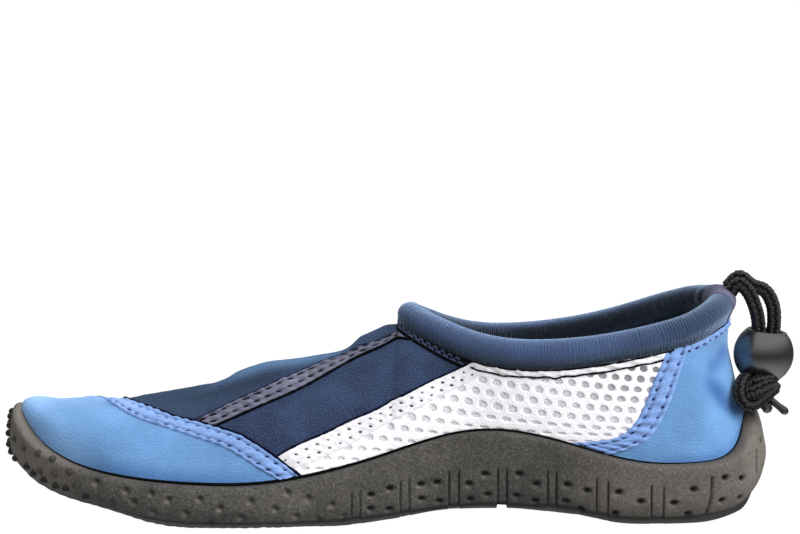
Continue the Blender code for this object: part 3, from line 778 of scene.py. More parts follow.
def braid(path, radius, strands=5, lay=11.5, yarn=0.76, step=0.42):
    """A braided cord: strands each way round a core, passing over and under one another. Also how far out each
    point of it lies, 0 to 1, which sets where the braid is painted lit and where near black as shade."""
    run = np.concatenate([[0], np.cumsum(np.linalg.norm(np.diff(path, axis=0), axis=1))])
    count = max(12, int(run[-1] / step))
    at = np.linspace(0, run[-1], count)
    line = np.stack([np.interp(at, run, path[:, k]) for k in range(3)], -1)
    tangent, a, b = transport(line)
    meshes = [tube_mesh(line, radius - yarn * 1.15, 12)]
    lobe_lights = [np.zeros(len(meshes[0][0]))]
    for way in (1, -1):
        for number in range(strands):
            turn = way * 2 * math.pi * at / lay + 2 * math.pi * (number + 0.25 * (way + 1)) / strands
            crossing = strands * (at / lay) * 2 * math.pi + (0 if way > 0 else math.pi)
            out = radius - yarn * 0.95 + 0.42 * yarn * np.cos(crossing)
            radial = np.cos(turn)[:, None] * a + np.sin(turn)[:, None] * b
            strand = line + radial * out[:, None]
            t = unit(np.gradient(strand, axis=0))
            side = unit(np.cross(t, radial))
            mesh = tube_mesh(strand, yarn * 1.10, 7, flat=0.62, frames=(t, side, np.cross(t, side)))
            ring_ = ease(np.cos(crossing), -0.1, 1.0)
            outer = np.concatenate([[ring_[0]], ring_, [ring_[-1]]])[:, None] * np.ones((1, 7))
            meshes.append(mesh)
            lobe_lights.append(np.concatenate([outer.ravel(), [0, 0]]))
    return gather(meshes), line, np.concatenate(lobe_lights)


def sunk(path):
    """The cord's path with its first quarter let down into the heel tab."""
    share = np.linspace(0, 1, len(path))
    return path - np.array([0.0, 0.0, 1.3]) * (1 - ease(share, 0.0, 0.26))[:, None]


CORDS = []
for name, points in (("cord_strand_near", CORD_NEAR), ("cord_strand_far", CORD_FAR)):
    (p, q, t), line, lobe_lights = braid(sunk(route(points, 12)), CORD / 2 + 0.3)
    piece = build(f"{name}_braid", p, q, t, [MATERIALS["cord"]], [name], fields={"lobe_light": lobe_lights})
    CORDS.append((piece, line))


def lathe(profile, count):
    """A closed form of revolution about its own Z from a closed (radius, height) profile."""
    profile = np.asarray(profile, float)
    angle = np.arange(count) * 2 * math.pi / count
    points = np.stack(
        [
            profile[None, :, 0] * np.cos(angle)[:, None],
            profile[None, :, 0] * np.sin(angle)[:, None],
            np.broadcast_to(profile[None, :, 1], (count, len(profile))),
        ],
        -1,
    )
    return points.reshape(-1, 3), sheet_quads(count, len(profile), True, True)


def make_bead():
    half = BEAD_HEIGHT / 2
    profile = []
    for z in np.linspace(half - 0.5, -half + 0.5, 44):
        profile.append((BEAD_RADIUS * math.sqrt(1 - (z / BEAD_ROUND) ** 2), z))
    first, last = profile[0], profile[-1]
    turn = np.linspace(0, math.pi, 12)[1:-1]
    middle = (first[0] + BEAD_BORE) / 2
    span = (first[0] - BEAD_BORE) / 2
    low = [(middle + span * math.cos(a), last[1] - 0.5 * math.sin(a)) for a in turn]
    high = [(middle - span * math.cos(a), first[1] + 0.5 * math.sin(a)) for a in turn]
    bore = [(BEAD_BORE, z) for z in np.linspace(last[1], first[1], 6)]
    points, quads = lathe(profile + low + bore + high, 72)
    tilt = math.radians(BEAD_TILT)
    turned = np.stack(
        [
            points[:, 0] * math.cos(tilt) + points[:, 2] * math.sin(tilt),
            points[:, 1],
            -points[:, 0] * math.sin(tilt) + points[:, 2] * math.cos(tilt),
        ],
        -1,
    )
    quads = quads[:, ::-1]
    return build(
        "cord_bead_barrel", turned + np.array(BEAD_CENTRE), quads, (), [MATERIALS["bead"]],
        ["cord_bead"],
    )


BEAD = make_bead()

# The knot: the doubled cord turned round itself, then its two cut ends
KNOT = table(
    "x y z",
    ("in", 127.4, -0.6, 48.4),
    ("under_bead", 124.2, -5.0, 47.8),
    ("lobe_top", 121.8, -10.6, 46.8),
    ("lobe_light", 121.0, -13.2, 44.0),
    ("lobe_low", 121.9, -13.6, 41.0),
    ("bottom", 124.6, -12.6, 39.4),
    ("front", 128.0, -11.2, 41.0),
    ("front_up", 131.0, -9.4, 43.2),
    ("right", 132.9, -6.0, 44.2),
    ("right_back", 132.6, -2.0, 43.2),
    ("back", 129.6, 0.6, 41.6),
    ("back_left", 126.0, -1.6, 41.4),
)
KNOT_TWO = table(
    "x y z",
    ("in", 131.0, 0.0, 48.2),
    ("under_bead", 132.4, -4.0, 47.4),
    ("front", 130.2, -8.2, 47.0),
    ("front_left", 126.0, -9.2, 46.2),
    ("middle", 125.0, -8.4, 43.2),
    ("low", 127.4, -7.4, 40.0),
    ("low_right", 130.6, -6.0, 40.6),
    ("inside", 130.0, -4.4, 43.4),
)
KNOT_OVER = table(
    "x y z",
    ("left", 121.6, -11.4, 42.6),
    ("front_low", 124.0, -13.2, 43.2),
    ("front", 127.0, -13.0, 44.3),
    ("front_high", 130.0, -11.0, 45.3),
    ("right", 132.0, -7.8, 45.3),
    ("right_back", 132.2, -4.5, 44.6),
)
LONG_END = ((130.4, -8.0, 41.4), (133.8, -8.4, 38.8), (137.0, -8.8, 36.3))
SHORT_END = ((127.6, -9.4, 40.4), (129.6, -10.2, 38.8), (130.9, -10.8, 37.6))


def make_knot():
    meshes, lobe_lights = [], []
    for points in (KNOT, KNOT_TWO, KNOT_OVER):
        mesh, _, lobe_light = braid(route(points, 10), CORD / 2 + 0.25, lay=11.0)
        meshes.append(mesh)
        lobe_lights.append(lobe_light)
    p, q, t = gather(meshes)
    knot = build(
        "cord_knot_turns", p, q, t, [MATERIALS["cord"]], ["cord_knot"], fields={"lobe_light": np.concatenate(lobe_lights)}
    )
    ends = []
    for place, path in enumerate((LONG_END, SHORT_END)):
        line = np.array(path)
        fine = np.linspace(0, 1, 24)
        at = np.linspace(0, 1, len(line))
        line = np.stack([np.interp(fine, at, line[:, k]) for k in range(3)], -1)
        radius = 1.28 + 0.12 * np.sin(9 * fine) * fine + 0.14 * np.clip((fine - 0.90) / 0.06, 0, 1)
        radius = radius - 0.18 * np.clip((fine - 0.97) / 0.03, 0, 1)
        ends.append(tube_mesh(line, radius * (1.0 if place == 0 else 1.35), 20))
    p, q, t = gather(ends)
    tips = build("cord_cut_ends", p, q, t, [MATERIALS["melted"]], ["cord_knot"])
    return [knot, tips]


KNOT_PIECES = make_knot()
for number, (piece, line) in enumerate(CORDS):
    path = (line + SHIFT) * MM
    length = float(np.linalg.norm(np.diff(path, axis=0), axis=1).sum())

# ---------------------------------------------------------------- the upper's surface

FINE, HIGH = 48, 160
STATIONS = np.arange(ROWS * FINE) / FINE
SHARES = np.linspace(0, 1, HIGH + 1)


def side_grid():
    t = np.linspace(0, 1, 121)[None, :, None]
    a, b, c, d = (p[:, None, :] for p in side_curve(STATIONS))
    points = (1 - t) ** 3 * a + 3 * t * (1 - t) ** 2 * b + 3 * t * t * (1 - t) * c + t**3 * d
    run = np.cumsum(np.linalg.norm(np.diff(points, axis=1), axis=2), axis=1)
    run = np.concatenate([np.zeros((len(run), 1)), run], 1)
    length = run[:, -1].copy()
    run /= length[:, None]
    grid = np.empty((len(STATIONS), HIGH + 1, 3))
    rim = np.empty(len(STATIONS))
    heights = RIM_Z(STATIONS)
    for i in range(len(STATIONS)):
        for k in range(3):
            grid[i, :, k] = np.interp(SHARES, run[i], points[i, :, k])
        rim[i] = np.interp(heights[i], points[i, :, 2], run[i])
    return grid, length, rim


def grid_normals(grid):
    up = np.gradient(grid, axis=1)
    ahead = np.roll(grid, -1, 0) - np.roll(grid, 1, 0)
    normal = unit(np.cross(up, ahead))
    k = np.arange(len(STATIONS))
    crest_rows = row_of(STATIONS) >= THROAT
    other = (len(STATIONS) - k) % len(STATIONS)
    shared = unit(normal[:, -1] + normal[other, -1])
    normal[crest_rows, -1] = shared[crest_rows]
    return normal


PLAIN, LENGTH, RIM_SHARE = side_grid()
PLAIN_NORMAL = grid_normals(PLAIN)


def fold(s, q):
    """Shares over 1 in front of the throat go on over the crest and down the other side."""
    s, q = np.broadcast_arrays(np.asarray(s, float), np.asarray(q, float))
    over = (q > 1) & (row_of(s) >= THROAT)
    return np.where(over, ROWS - s, s), np.where(over, 2 - q, q)


def look(grid, s, q):
    """Bilinear reading of a grid at stations s and shares q."""
    s, q = fold(s, q)
    x, y = np.mod(s, ROWS) * FINE, np.clip(q, 0, 1) * HIGH
    i, j = np.floor(x).astype(int), np.minimum(np.floor(y).astype(int), HIGH - 1)
    u, v = x - i, y - j
    i, n = i % len(STATIONS), (i + 1) % len(STATIONS)
    if grid.ndim == 3:
        u, v = u[..., None], v[..., None]
    return (1 - u) * ((1 - v) * grid[i, j] + v * grid[i, j + 1]) + u * (
        (1 - v) * grid[n, j] + v * grid[n, j + 1]
    )


def ring_look(values, s):
    x = np.mod(s, ROWS) * FINE
    i = np.floor(x).astype(int)
    u = x - i
    i, n = i % len(STATIONS), (i + 1) % len(STATIONS)
    return (1 - u) * values[i] + u * values[n]


# Soft ridges (+) and troughs (-) of the cloth, from one (row, share) to another, with the half width
# and the height in mm. side: -1 inner, 1 outer, 0 both.
CREASES = table(
    "row share to_row to_share wide high side",
    ("vamp_swell", 9.50, 1.00, 9.90, 1.00, 9.0, 1.6, 0),
    ("throat_hump", 7.26, 1.00, 7.66, 1.00, 5.0, 2.7, 0),
    ("throat_rise", 7.70, 1.00, 8.40, 1.00, 6.5, 0.3, 0),
    ("vamp_ridge", 10.50, 1.00, 11.30, 1.00, 7.0, 1.7, 0),
    ("vamp_step", 10.15, 1.00, 10.28, 0.99, 4.2, -1.25, 0),
    ("toe_crest", 12.00, 1.00, 12.15, 1.00, 5.0, 1.1, 0),
    ("toe_top", 14.00, 0.50, 14.00, 0.92, 11.5, 2.3, 0),
    ("vamp_fold", 8.15, 0.94, 8.75, 0.78, 4.0, -0.55, -1),
    ("vamp_fall_outer", 7.80, 0.82, 10.50, 0.80, 9.0, -3.0, 1),
    ("toe_fall_outer", 10.50, 0.80, 13.60, 0.74, 11.0, -4.2, 1),
    ("toe_ridge", 11.10, 1.00, 11.70, 1.00, 6.5, 0.7, 0),
    ("toe_ridge_front", 13.20, 1.00, 13.70, 1.00, 7.5, 0.3, 0),
    ("toe_knuckle", 14.00, 0.80, 14.00, 0.86, 6.5, 2.5, 0),
    ("toe_rise", 13.10, 0.60, 14.00, 0.60, 9.0, 1.4, 0),
    ("heel_waist", 0.00, 0.66, 0.90, 0.66, 8.0, 0.6, 0),
    ("heel_top", 0.00, 0.95, 0.70, 0.95, 5.0, 0.9, 0),
    ("heel_flare", 0.00, 0.44, 0.50, 0.42, 4.5, 1.1, 0),
    ("heel_fold", 0.90, 0.82, 1.35, 0.755, 4.6, -1.3, -1),
    ("heel_ridge", 1.25, 0.70, 0.85, 0.63, 4.0, 0.4, -1),
    ("heel_fold_low", 1.30, 0.60, 0.85, 0.47, 4.6, -1.4, -1),
    ("heel_swell", 1.80, 0.80, 1.75, 0.48, 5.5, 0.7, -1),
    ("heel_fold_outer", 1.0, 0.82, 1.1, 0.55, 3.6, -1.2, 1),
    ("panel_fold", 7.7, 0.62, 6.9, 0.78, 6.0, -0.35, 0),
    ("toe_swell", 11.6, 0.78, 12.6, 0.70, 10.0, 0.4, -1),
    ("toe_dip", 13.0, 0.50, 12.4, 0.46, 5.0, -0.35, 0),
)


def relief():
    out = np.zeros(PLAIN.shape[:2])
    for i in range(len(CREASES["row"])):
        crease = {key: CREASES[key][i] for key in CREASES}
        rows = np.linspace(crease["row"], crease["to_row"], 14)
        shares = np.linspace(crease["share"], crease["to_share"], 14)
        near = np.full(out.shape, 1e9)
        for side in (-1, 1):
            if crease["side"] in (0, side):
                for p in look(PLAIN, rows if side < 0 else ROWS - rows, shares):
                    near = np.minimum(near, ((PLAIN - p) ** 2).sum(-1))
        out += crease["high"] * np.exp(-near / crease["wide"] ** 2)
    return out * ease(SHARES, 0.22, 0.42)[None, :]


LIFT_GRID = relief()
SURFACE = PLAIN + PLAIN_NORMAL * LIFT_GRID[..., None]
NORMAL = grid_normals(SURFACE)
PERIMETER = np.concatenate(
    [[0], np.cumsum(np.linalg.norm(np.diff(SURFACE[:, 80], axis=0), axis=1))]
)


def surf(s, q, high=0.0):
    """A point on the upper, high mm off its cloth."""
    place = look(SURFACE, s, q)
    high = np.asarray(high, float)
    return place + unit(look(NORMAL, s, q)) * (high[..., None] if high.ndim else high)


TO_EYE = -AHEAD


def locate(pixels, high=0.6):
    """Station and share on the inner side of the upper, high mm over it, at pixels of the photograph's frame."""
    pixels = np.asarray(pixels, float)
    rows = np.arange(0, TOE * FINE + 1, 8)
    shares = np.arange(0, HIGH + 1, 4)
    grid = SURFACE[np.ix_(rows, shares)]
    flat = project(grid).reshape(-1, 2)
    hidden = (NORMAL[np.ix_(rows, shares)] @ TO_EYE).reshape(-1) < 0.02
    near = ((pixels[:, None] - flat[None]) ** 2).sum(-1) + hidden * 1e5
    best = near.argmin(1)
    s = STATIONS[rows[best // len(shares)]].copy()
    q = SHARES[shares[best % len(shares)]].copy()
    d, e = 0.02, 0.01
    for _ in range(25):
        miss = pixels - project(surf(s, q, high))
        by_s = (project(surf(s + d, q)) - project(surf(s - d, q))) / (2 * d)
        under, over = np.clip(q - e, 0, 1), np.clip(q + e, 0, 1)
        by_q = (project(surf(s, over)) - project(surf(s, under))) / (over - under)[:, None]
        det = by_s[:, 0] * by_q[:, 1] - by_s[:, 1] * by_q[:, 0]
        det = np.where(abs(det) < 1e-6, 1e-6, det)
        ds = (miss[:, 0] * by_q[:, 1] - miss[:, 1] * by_q[:, 0]) / det
        dq = (by_s[:, 0] * miss[:, 1] - by_s[:, 1] * miss[:, 0]) / det
        s = np.clip(s + 0.8 * np.clip(ds, -0.15, 0.15), -0.5, TOE)
        q = np.clip(q + 0.8 * np.clip(dq, -0.05, 0.05), 0, 1)
    return s, q


def resample(s, q, count):
    """The line through (s, q) points at even steps along the upper."""
    t = np.arange(len(s))
    fine = np.linspace(0, len(s) - 1, 40 * len(s))
    s, q = smooth(s)(fine), np.clip(smooth(q)(fine), 0, 2)
    run = np.concatenate([[0], np.cumsum(np.linalg.norm(np.diff(surf(s, q), axis=0), axis=1))])
    at = np.linspace(0, run[-1], count)
    return np.interp(at, run, s), np.interp(at, run, q)


def traced(pixels, high=0.6, count=200):
    """A line on the upper through pixels of the photograph, as seen high mm over the cloth."""
    s, q = locate(pixels, high)
    return resample(s, q, count)


# Seam lines as the photograph shows them on the inner side, in pixels of its frame
TOE_LOW = [(108.5, 400.5), (113, 404), (120, 408.6), (130, 414.6), (148, 422), (170, 429), (195, 437.5), (216.5, 444.5), (236, 454), (256, 467), (273, 477)]
TOE_HIGH = [(134, 400), (143, 403.4), (156, 408), (166, 412), (179, 416.5), (198, 421), (219, 427), (237.5, 433), (254, 442), (275, 456), (289, 467)]
MAUVE_HIGH = [(195, 419), (230, 402), (265, 386), (300, 370), (328, 358.6), (356, 347), (378.6, 339), (397, 331)]
MAUVE_LOW = [(214, 425.6), (243, 413), (272, 400.5), (300, 388), (328, 372.6), (356, 357), (384, 344.5), (405, 338)]
WHITE_HIGH = [(277, 456), (300, 443.5), (328, 431.5), (356, 418), (398, 397.4), (440, 377), (468, 364)]
WHITE_LOW = [(303, 468), (328, 456), (350, 446), (372, 433), (398, 419), (424, 406), (452, 391), (480, 376)]
HEEL_FRONT = [(663, 353), (660, 366), (653, 382), (645, 403), (635.5, 421), (622.6, 434), (606, 440), (585, 442)]
HEEL_BACK = [(687, 353), (681, 371), (674, 393), (665, 414.5), (652, 435.5), (635.5, 447), (615, 454)]


def locate_plan(places):
    """Row and share, over 1 beyond the crest, on the vamp over places seen from above."""
    places = np.asarray(places, float)
    rows = np.linspace(7.4, TOE, 140)
    shares = np.linspace(0.4, 1.6, 121)
    grid = surf(*np.meshgrid(rows, shares, indexing="ij"))[..., :2].reshape(-1, 2)
    best = ((places[:, None] - grid[None]) ** 2).sum(-1).argmin(1)
    return rows[best // len(shares)], shares[best % len(shares)]


def toe_line(pixels, high, reach):
    """A line across the toe, from under the rim on the inner side over the crest to the outer side, with its
    foremost point reach mm beyond the last that the photograph shows."""
    s, q = locate(pixels, high)
    first, second = surf(s[0], q[0]), surf(s[2], q[2])
    slope = (second[0] - first[0]) / (second[1] - first[1])
    far = surf(ROWS - s[3], q[3])
    tip = (first[0] + 0.45 * slope * reach, first[1] + reach)
    t = np.linspace(0, 1, 8)[1:-1]

    def swing(a, a_slope, b, b_slope):
        span = b[1] - a[1]
        x = (
            (2 * t**3 - 3 * t**2 + 1) * a[0]
            + (t**3 - 2 * t**2 + t) * a_slope * span
            + (-2 * t**3 + 3 * t**2) * b[0]
            + (t**3 - t**2) * b_slope * span
        )
        return np.stack([x, a[1] + t * span], -1)

    over = np.concatenate([swing(first, slope, tip, 0), [tip], swing(tip, 0, far, -slope)])
    over_s, over_q = locate_plan(over)
    row = np.concatenate([s[::-1], over_s, s[3:]])
    share = np.concatenate([q[::-1], over_q, 2 - q[3:]])
    for place, ahead in ((0, 1), (-1, -2)):
        lip = 0.5 * ring_look(RIM_SHARE, row[place])
        low = lip if place == 0 else 2 - lip
        start = row[place] + (row[place] - row[ahead]) / (share[place] - share[ahead]) * (low - share[place])
        if place == 0:
            row, share = np.concatenate([[start], row]), np.concatenate([[low], share])
        else:
            row, share = np.concatenate([row, [start]]), np.concatenate([share, [low]])
    row, share = resample(row, share, 520)
    for _ in range(30):
        row[1:-1] = 0.25 * row[:-2] + 0.5 * row[1:-1] + 0.25 * row[2:]
    return row, share


toe_a = toe_line(TOE_LOW, 0.2, 9.0)
toe_b = toe_line(TOE_HIGH, 0.6, 9.0)


def mirrored(line):
    return ROWS - line[0], line[1]


def under_tape(line_a, line_b):
    return (line_a[0] + line_b[0]) / 2, (line_a[1] + line_b[1]) / 2


mauve_high = traced(MAUVE_HIGH, 0.6, 220)
mauve_low = traced(MAUVE_LOW, 0.5, 220)
white_high = traced(WHITE_HIGH, 0.4, 220)
white_low = traced(WHITE_LOW, 0.2, 220)
heel_front = traced(HEEL_FRONT, 0.3)
heel_back = traced(HEEL_BACK, 0.3)


def extend(line, at_start=0.0, at_end=0.0, count=None):
    """A line carried straight on by so many mm at each end, in its own (s, q)."""
    s, q = (np.array(part) for part in line)
    step = np.linalg.norm(surf(s[5], q[5]) - surf(s[0], q[0])) / 5
    before = np.arange(int(round(at_start / step)), 0, -1)
    back = np.linalg.norm(surf(s[-1], q[-1]) - surf(s[-6], q[-6])) / 5
    after = np.arange(1, int(round(at_end / back)) + 1)
    ds0, dq0 = (s[6] - s[0]) / 6, (q[6] - q[0]) / 6
    ds1, dq1 = (s[-1] - s[-7]) / 6, (q[-1] - q[-7]) / 6
    s = np.concatenate([s[0] - before * ds0, s, s[-1] + after * ds1])
    q = np.concatenate([q[0] - before * dq0, q, q[-1] + after * dq1])
    q = np.clip(q, 0, 1)
    if count:
        run = np.concatenate([[0], np.cumsum(np.linalg.norm(np.diff(surf(s, q), axis=0), axis=1))])
        at = np.linspace(0, run[-1], count)
        s, q = np.interp(at, run, s), np.interp(at, run, q)
    return s, q


mauve_high, mauve_low = extend(mauve_high, 4, 3, 240), extend(mauve_low, 4, 3, 240)
white_high, white_low = extend(white_high, 5, 3, 240), extend(white_low, 5, 3, 240)
heel_front, heel_back = extend(heel_front, 3, 9, 240), extend(heel_back, 3, 9, 240)

# ---------------------------------------------------------------- panels of the upper

PANEL_STEP = 2
panel_k = np.arange(0, len(STATIONS), PANEL_STEP)
panel_n = len(panel_k)
PANEL_HIGH = 84


def panel_grid():
    """Stations and shares of the panels' points, from inside the sole's cup to the top."""
    s = STATIONS[panel_k]
    low = 0.45 * RIM_SHARE[panel_k]
    t = np.linspace(0, 1, PANEL_HIGH + 1)
    return np.broadcast_to(s[:, None], (panel_n, PANEL_HIGH + 1)), low[:, None] + (1 - low[:, None]) * t


PANEL_S, PANEL_Q = panel_grid()


def by_share(line, q):
    order = np.argsort(line[1])
    return np.interp(q, line[1][order], line[0][order])


def by_row(line, row, before, after):
    order = np.argsort(line[0])
    return np.interp(row, line[0][order], line[1][order], left=before, right=after)


def classify(s, q):
    """Which panel a point is on: 0 toe, 1 vamp, 2 side, 3 mesh, 4 heel."""
    row = row_of(s)
    toe = row > by_share(under_tape(toe_a, toe_b), np.where(np.mod(s, ROWS) > TOE, 2 - q, q))
    heel = row < by_share(under_tape(heel_front, heel_back), q)
    above_mauve = (q > by_row(under_tape(mauve_high, mauve_low), row, 2.0, 0.0)) & (row > 6.5)
    above_white = q > by_row(under_tape(white_high, white_low), row, 2.0, 0.0)
    return np.where(toe, 0, np.where(heel, 4, np.where(above_mauve, 1, np.where(above_white, 2, 3))))


def weave_of(s, q):
    """Millimetres along and up the cloth."""
    x = np.mod(s, ROWS) * FINE
    u = np.interp(x, np.arange(len(PERIMETER)), PERIMETER)
    return np.stack([u, q * ring_look(LENGTH, s)], -1)


# Painted shadows in the folds of the inner side's cloth, in pixels of the photograph's frame, with the half
# width in mm and how dark
SHADOWS = (
    ([(725, 350), (718, 359), (712, 366)], 3.0, 0.6),
    ([(711, 385), (717, 392), (724, 400), (733, 408)], 3.6, 0.8),
)


def shadows():
    out = np.zeros(PANEL_S.shape)
    place = surf(PANEL_S, PANEL_Q)
    for pixels, wide, dark in SHADOWS:
        line = surf(*traced(pixels, 0.0, 30))
        near = ((place[:, :, None] - line[None, None]) ** 2).sum(-1).min(-1)
        out = np.maximum(out, dark * np.exp(-near / wide**2))
    row = row_of(PANEL_S)
    tall = (PANEL_Q - ring_look(RIM_SHARE, PANEL_S)) * ring_look(LENGTH, PANEL_S)
    # painted shade near the sole's rim on the toe cap's sides and at the heel
    rim = 0.6 * (1 - ease(tall, 0.0, 8.0)) * ease(row, 8.6, 9.6) * (1 - ease(row, 11.0, 12.0))
    rim = np.maximum(rim, 0.5 * (1 - ease(tall, 0.0, 4.5)) * (1 - ease(row, 2.2, 3.2)))
    # painted shade over the vamp away from its crest
    reach = (1 - PANEL_Q) * ring_look(LENGTH, PANEL_S)
    deep = np.maximum(ease(reach, 5.5, 13.5), 0.8 * ease(row, 10.0, 10.5))
    vamp = 0.88 * deep * ease(row, 7.8, 9.2) * (1 - ease(row, 12.0, 12.6)) * ease(PANEL_Q, 0.62, 0.8)
    # painted highlight along the vamp's crest and on the front of the toe
    painted_highlight = 0.75 * (1 - ease(reach, 2.5, 13.0)) * ease(row, 7.4, 8.9) * (1 - ease(row, 9.5, 10.5))
    painted_highlight = np.maximum(painted_highlight, 0.85 * (1 - ease(tall, 2.0, 17.0)) * ease(row, 11.4, 12.4))
    return np.maximum(out, np.maximum(rim, vamp)).ravel(), painted_highlight.ravel()


def make_panels():
    points = surf(PANEL_S, PANEL_Q)
    painted_shade, painted_highlight = shadows()
    inner = surf(PANEL_S, PANEL_Q, 1.9 * ease(row_of(PANEL_S), 11.4, 12.4) - WALL)
    m = PANEL_HIGH + 1
    quads = sheet_quads(panel_n, m, closed_n=True)
    i, j = quads[:, 0] // m, quads[:, 0] % m
    middle_s = STATIONS[panel_k][i] + PANEL_STEP / 2 / FINE
    middle_q = (PANEL_Q[i, j] + PANEL_Q[(i + 1) % panel_n, j + 1]) / 2
    kind = classify(middle_s, middle_q)
    outer_side = middle_s > TOE
    # the crest is one line of points for both sides
    index = np.arange(panel_n * m).reshape(panel_n, m)
    crest_k = [k for k in range(panel_n) if STATIONS[panel_k][k] > TOE and row_of(STATIONS[panel_k][k]) >= THROAT]
    for k in crest_k:
        index[k, -1] = index[(panel_n - k) % panel_n, -1]
    merged = index.reshape(-1)
    quads = merged[quads]
    weave = weave_of(PANEL_S, PANEL_Q).reshape(-1, 2)
    flat, flat_in = points.reshape(-1, 3), inner.reshape(-1, 3)
    # the lining stands off the mesh towards the heel and the collar, and its holes are painted darker there as shade
    hollow_shade = (0.75 * ease(-row_of(PANEL_S), -4.6, -2.9) * ease(PANEL_Q, 0.52, 0.95)).ravel()
    jobs = [
        ("toe_cap_panel", kind == 0, "light_blue"),
        ("vamp_panel", kind == 1, "navy"),
        ("side_panel_inner", (kind == 2) & ~outer_side, "navy"),
        ("side_panel_outer", (kind == 2) & outer_side, "navy"),
        ("mesh_backing_inner", (kind == 3) & ~outer_side, "backing"),
        ("mesh_backing_outer", (kind == 3) & outer_side, "backing"),
        ("heel_counter_panel", kind == 4, "light_blue"),
    ]
    for name, chosen, finish in jobs:
        faces = quads[chosen]
        used, local = np.unique(faces, return_inverse=True)
        local = local.reshape(-1, 4)
        n = len(used)
        edges = np.concatenate([local[:, [0, 1]], local[:, [1, 2]], local[:, [2, 3]], local[:, [3, 0]]])
        key = np.sort(edges, axis=1)
        _, first, counts = np.unique(key[:, 0] * n + key[:, 1], return_index=True, return_counts=True)
        border = edges[first[counts == 1]]
        walls = np.stack([border[:, 1], border[:, 0], border[:, 0] + n, border[:, 1] + n], -1)
        outer = local
        faces = np.concatenate([outer[:, ::-1], local + n, walls[:, ::-1]])
        parts = np.concatenate([np.zeros(len(local)), np.ones(len(local) + len(walls))])
        build(
            name,
            np.concatenate([flat[used], flat_in[used]]),
            faces,
            (),
            [MATERIALS[finish], MATERIALS["lining"]],
            ["upper"],
            uv=np.concatenate([weave[used], weave[used]]),
            fields={"hollow_shade": np.tile(hollow_shade[used], 2), "shade": np.tile(painted_shade[used], 2), "painted_highlight": np.tile(painted_highlight[used], 2)},
            parts=parts,
        )


make_panels()

# ---------------------------------------------------------------- seam tapes


def dome(v, edge):
    """Height over a tape's width: rounded down at both edges."""
    near = np.minimum(v, 1 - v)
    return np.sqrt(1 - (1 - np.clip(near / edge, 0, 1)) ** 2)


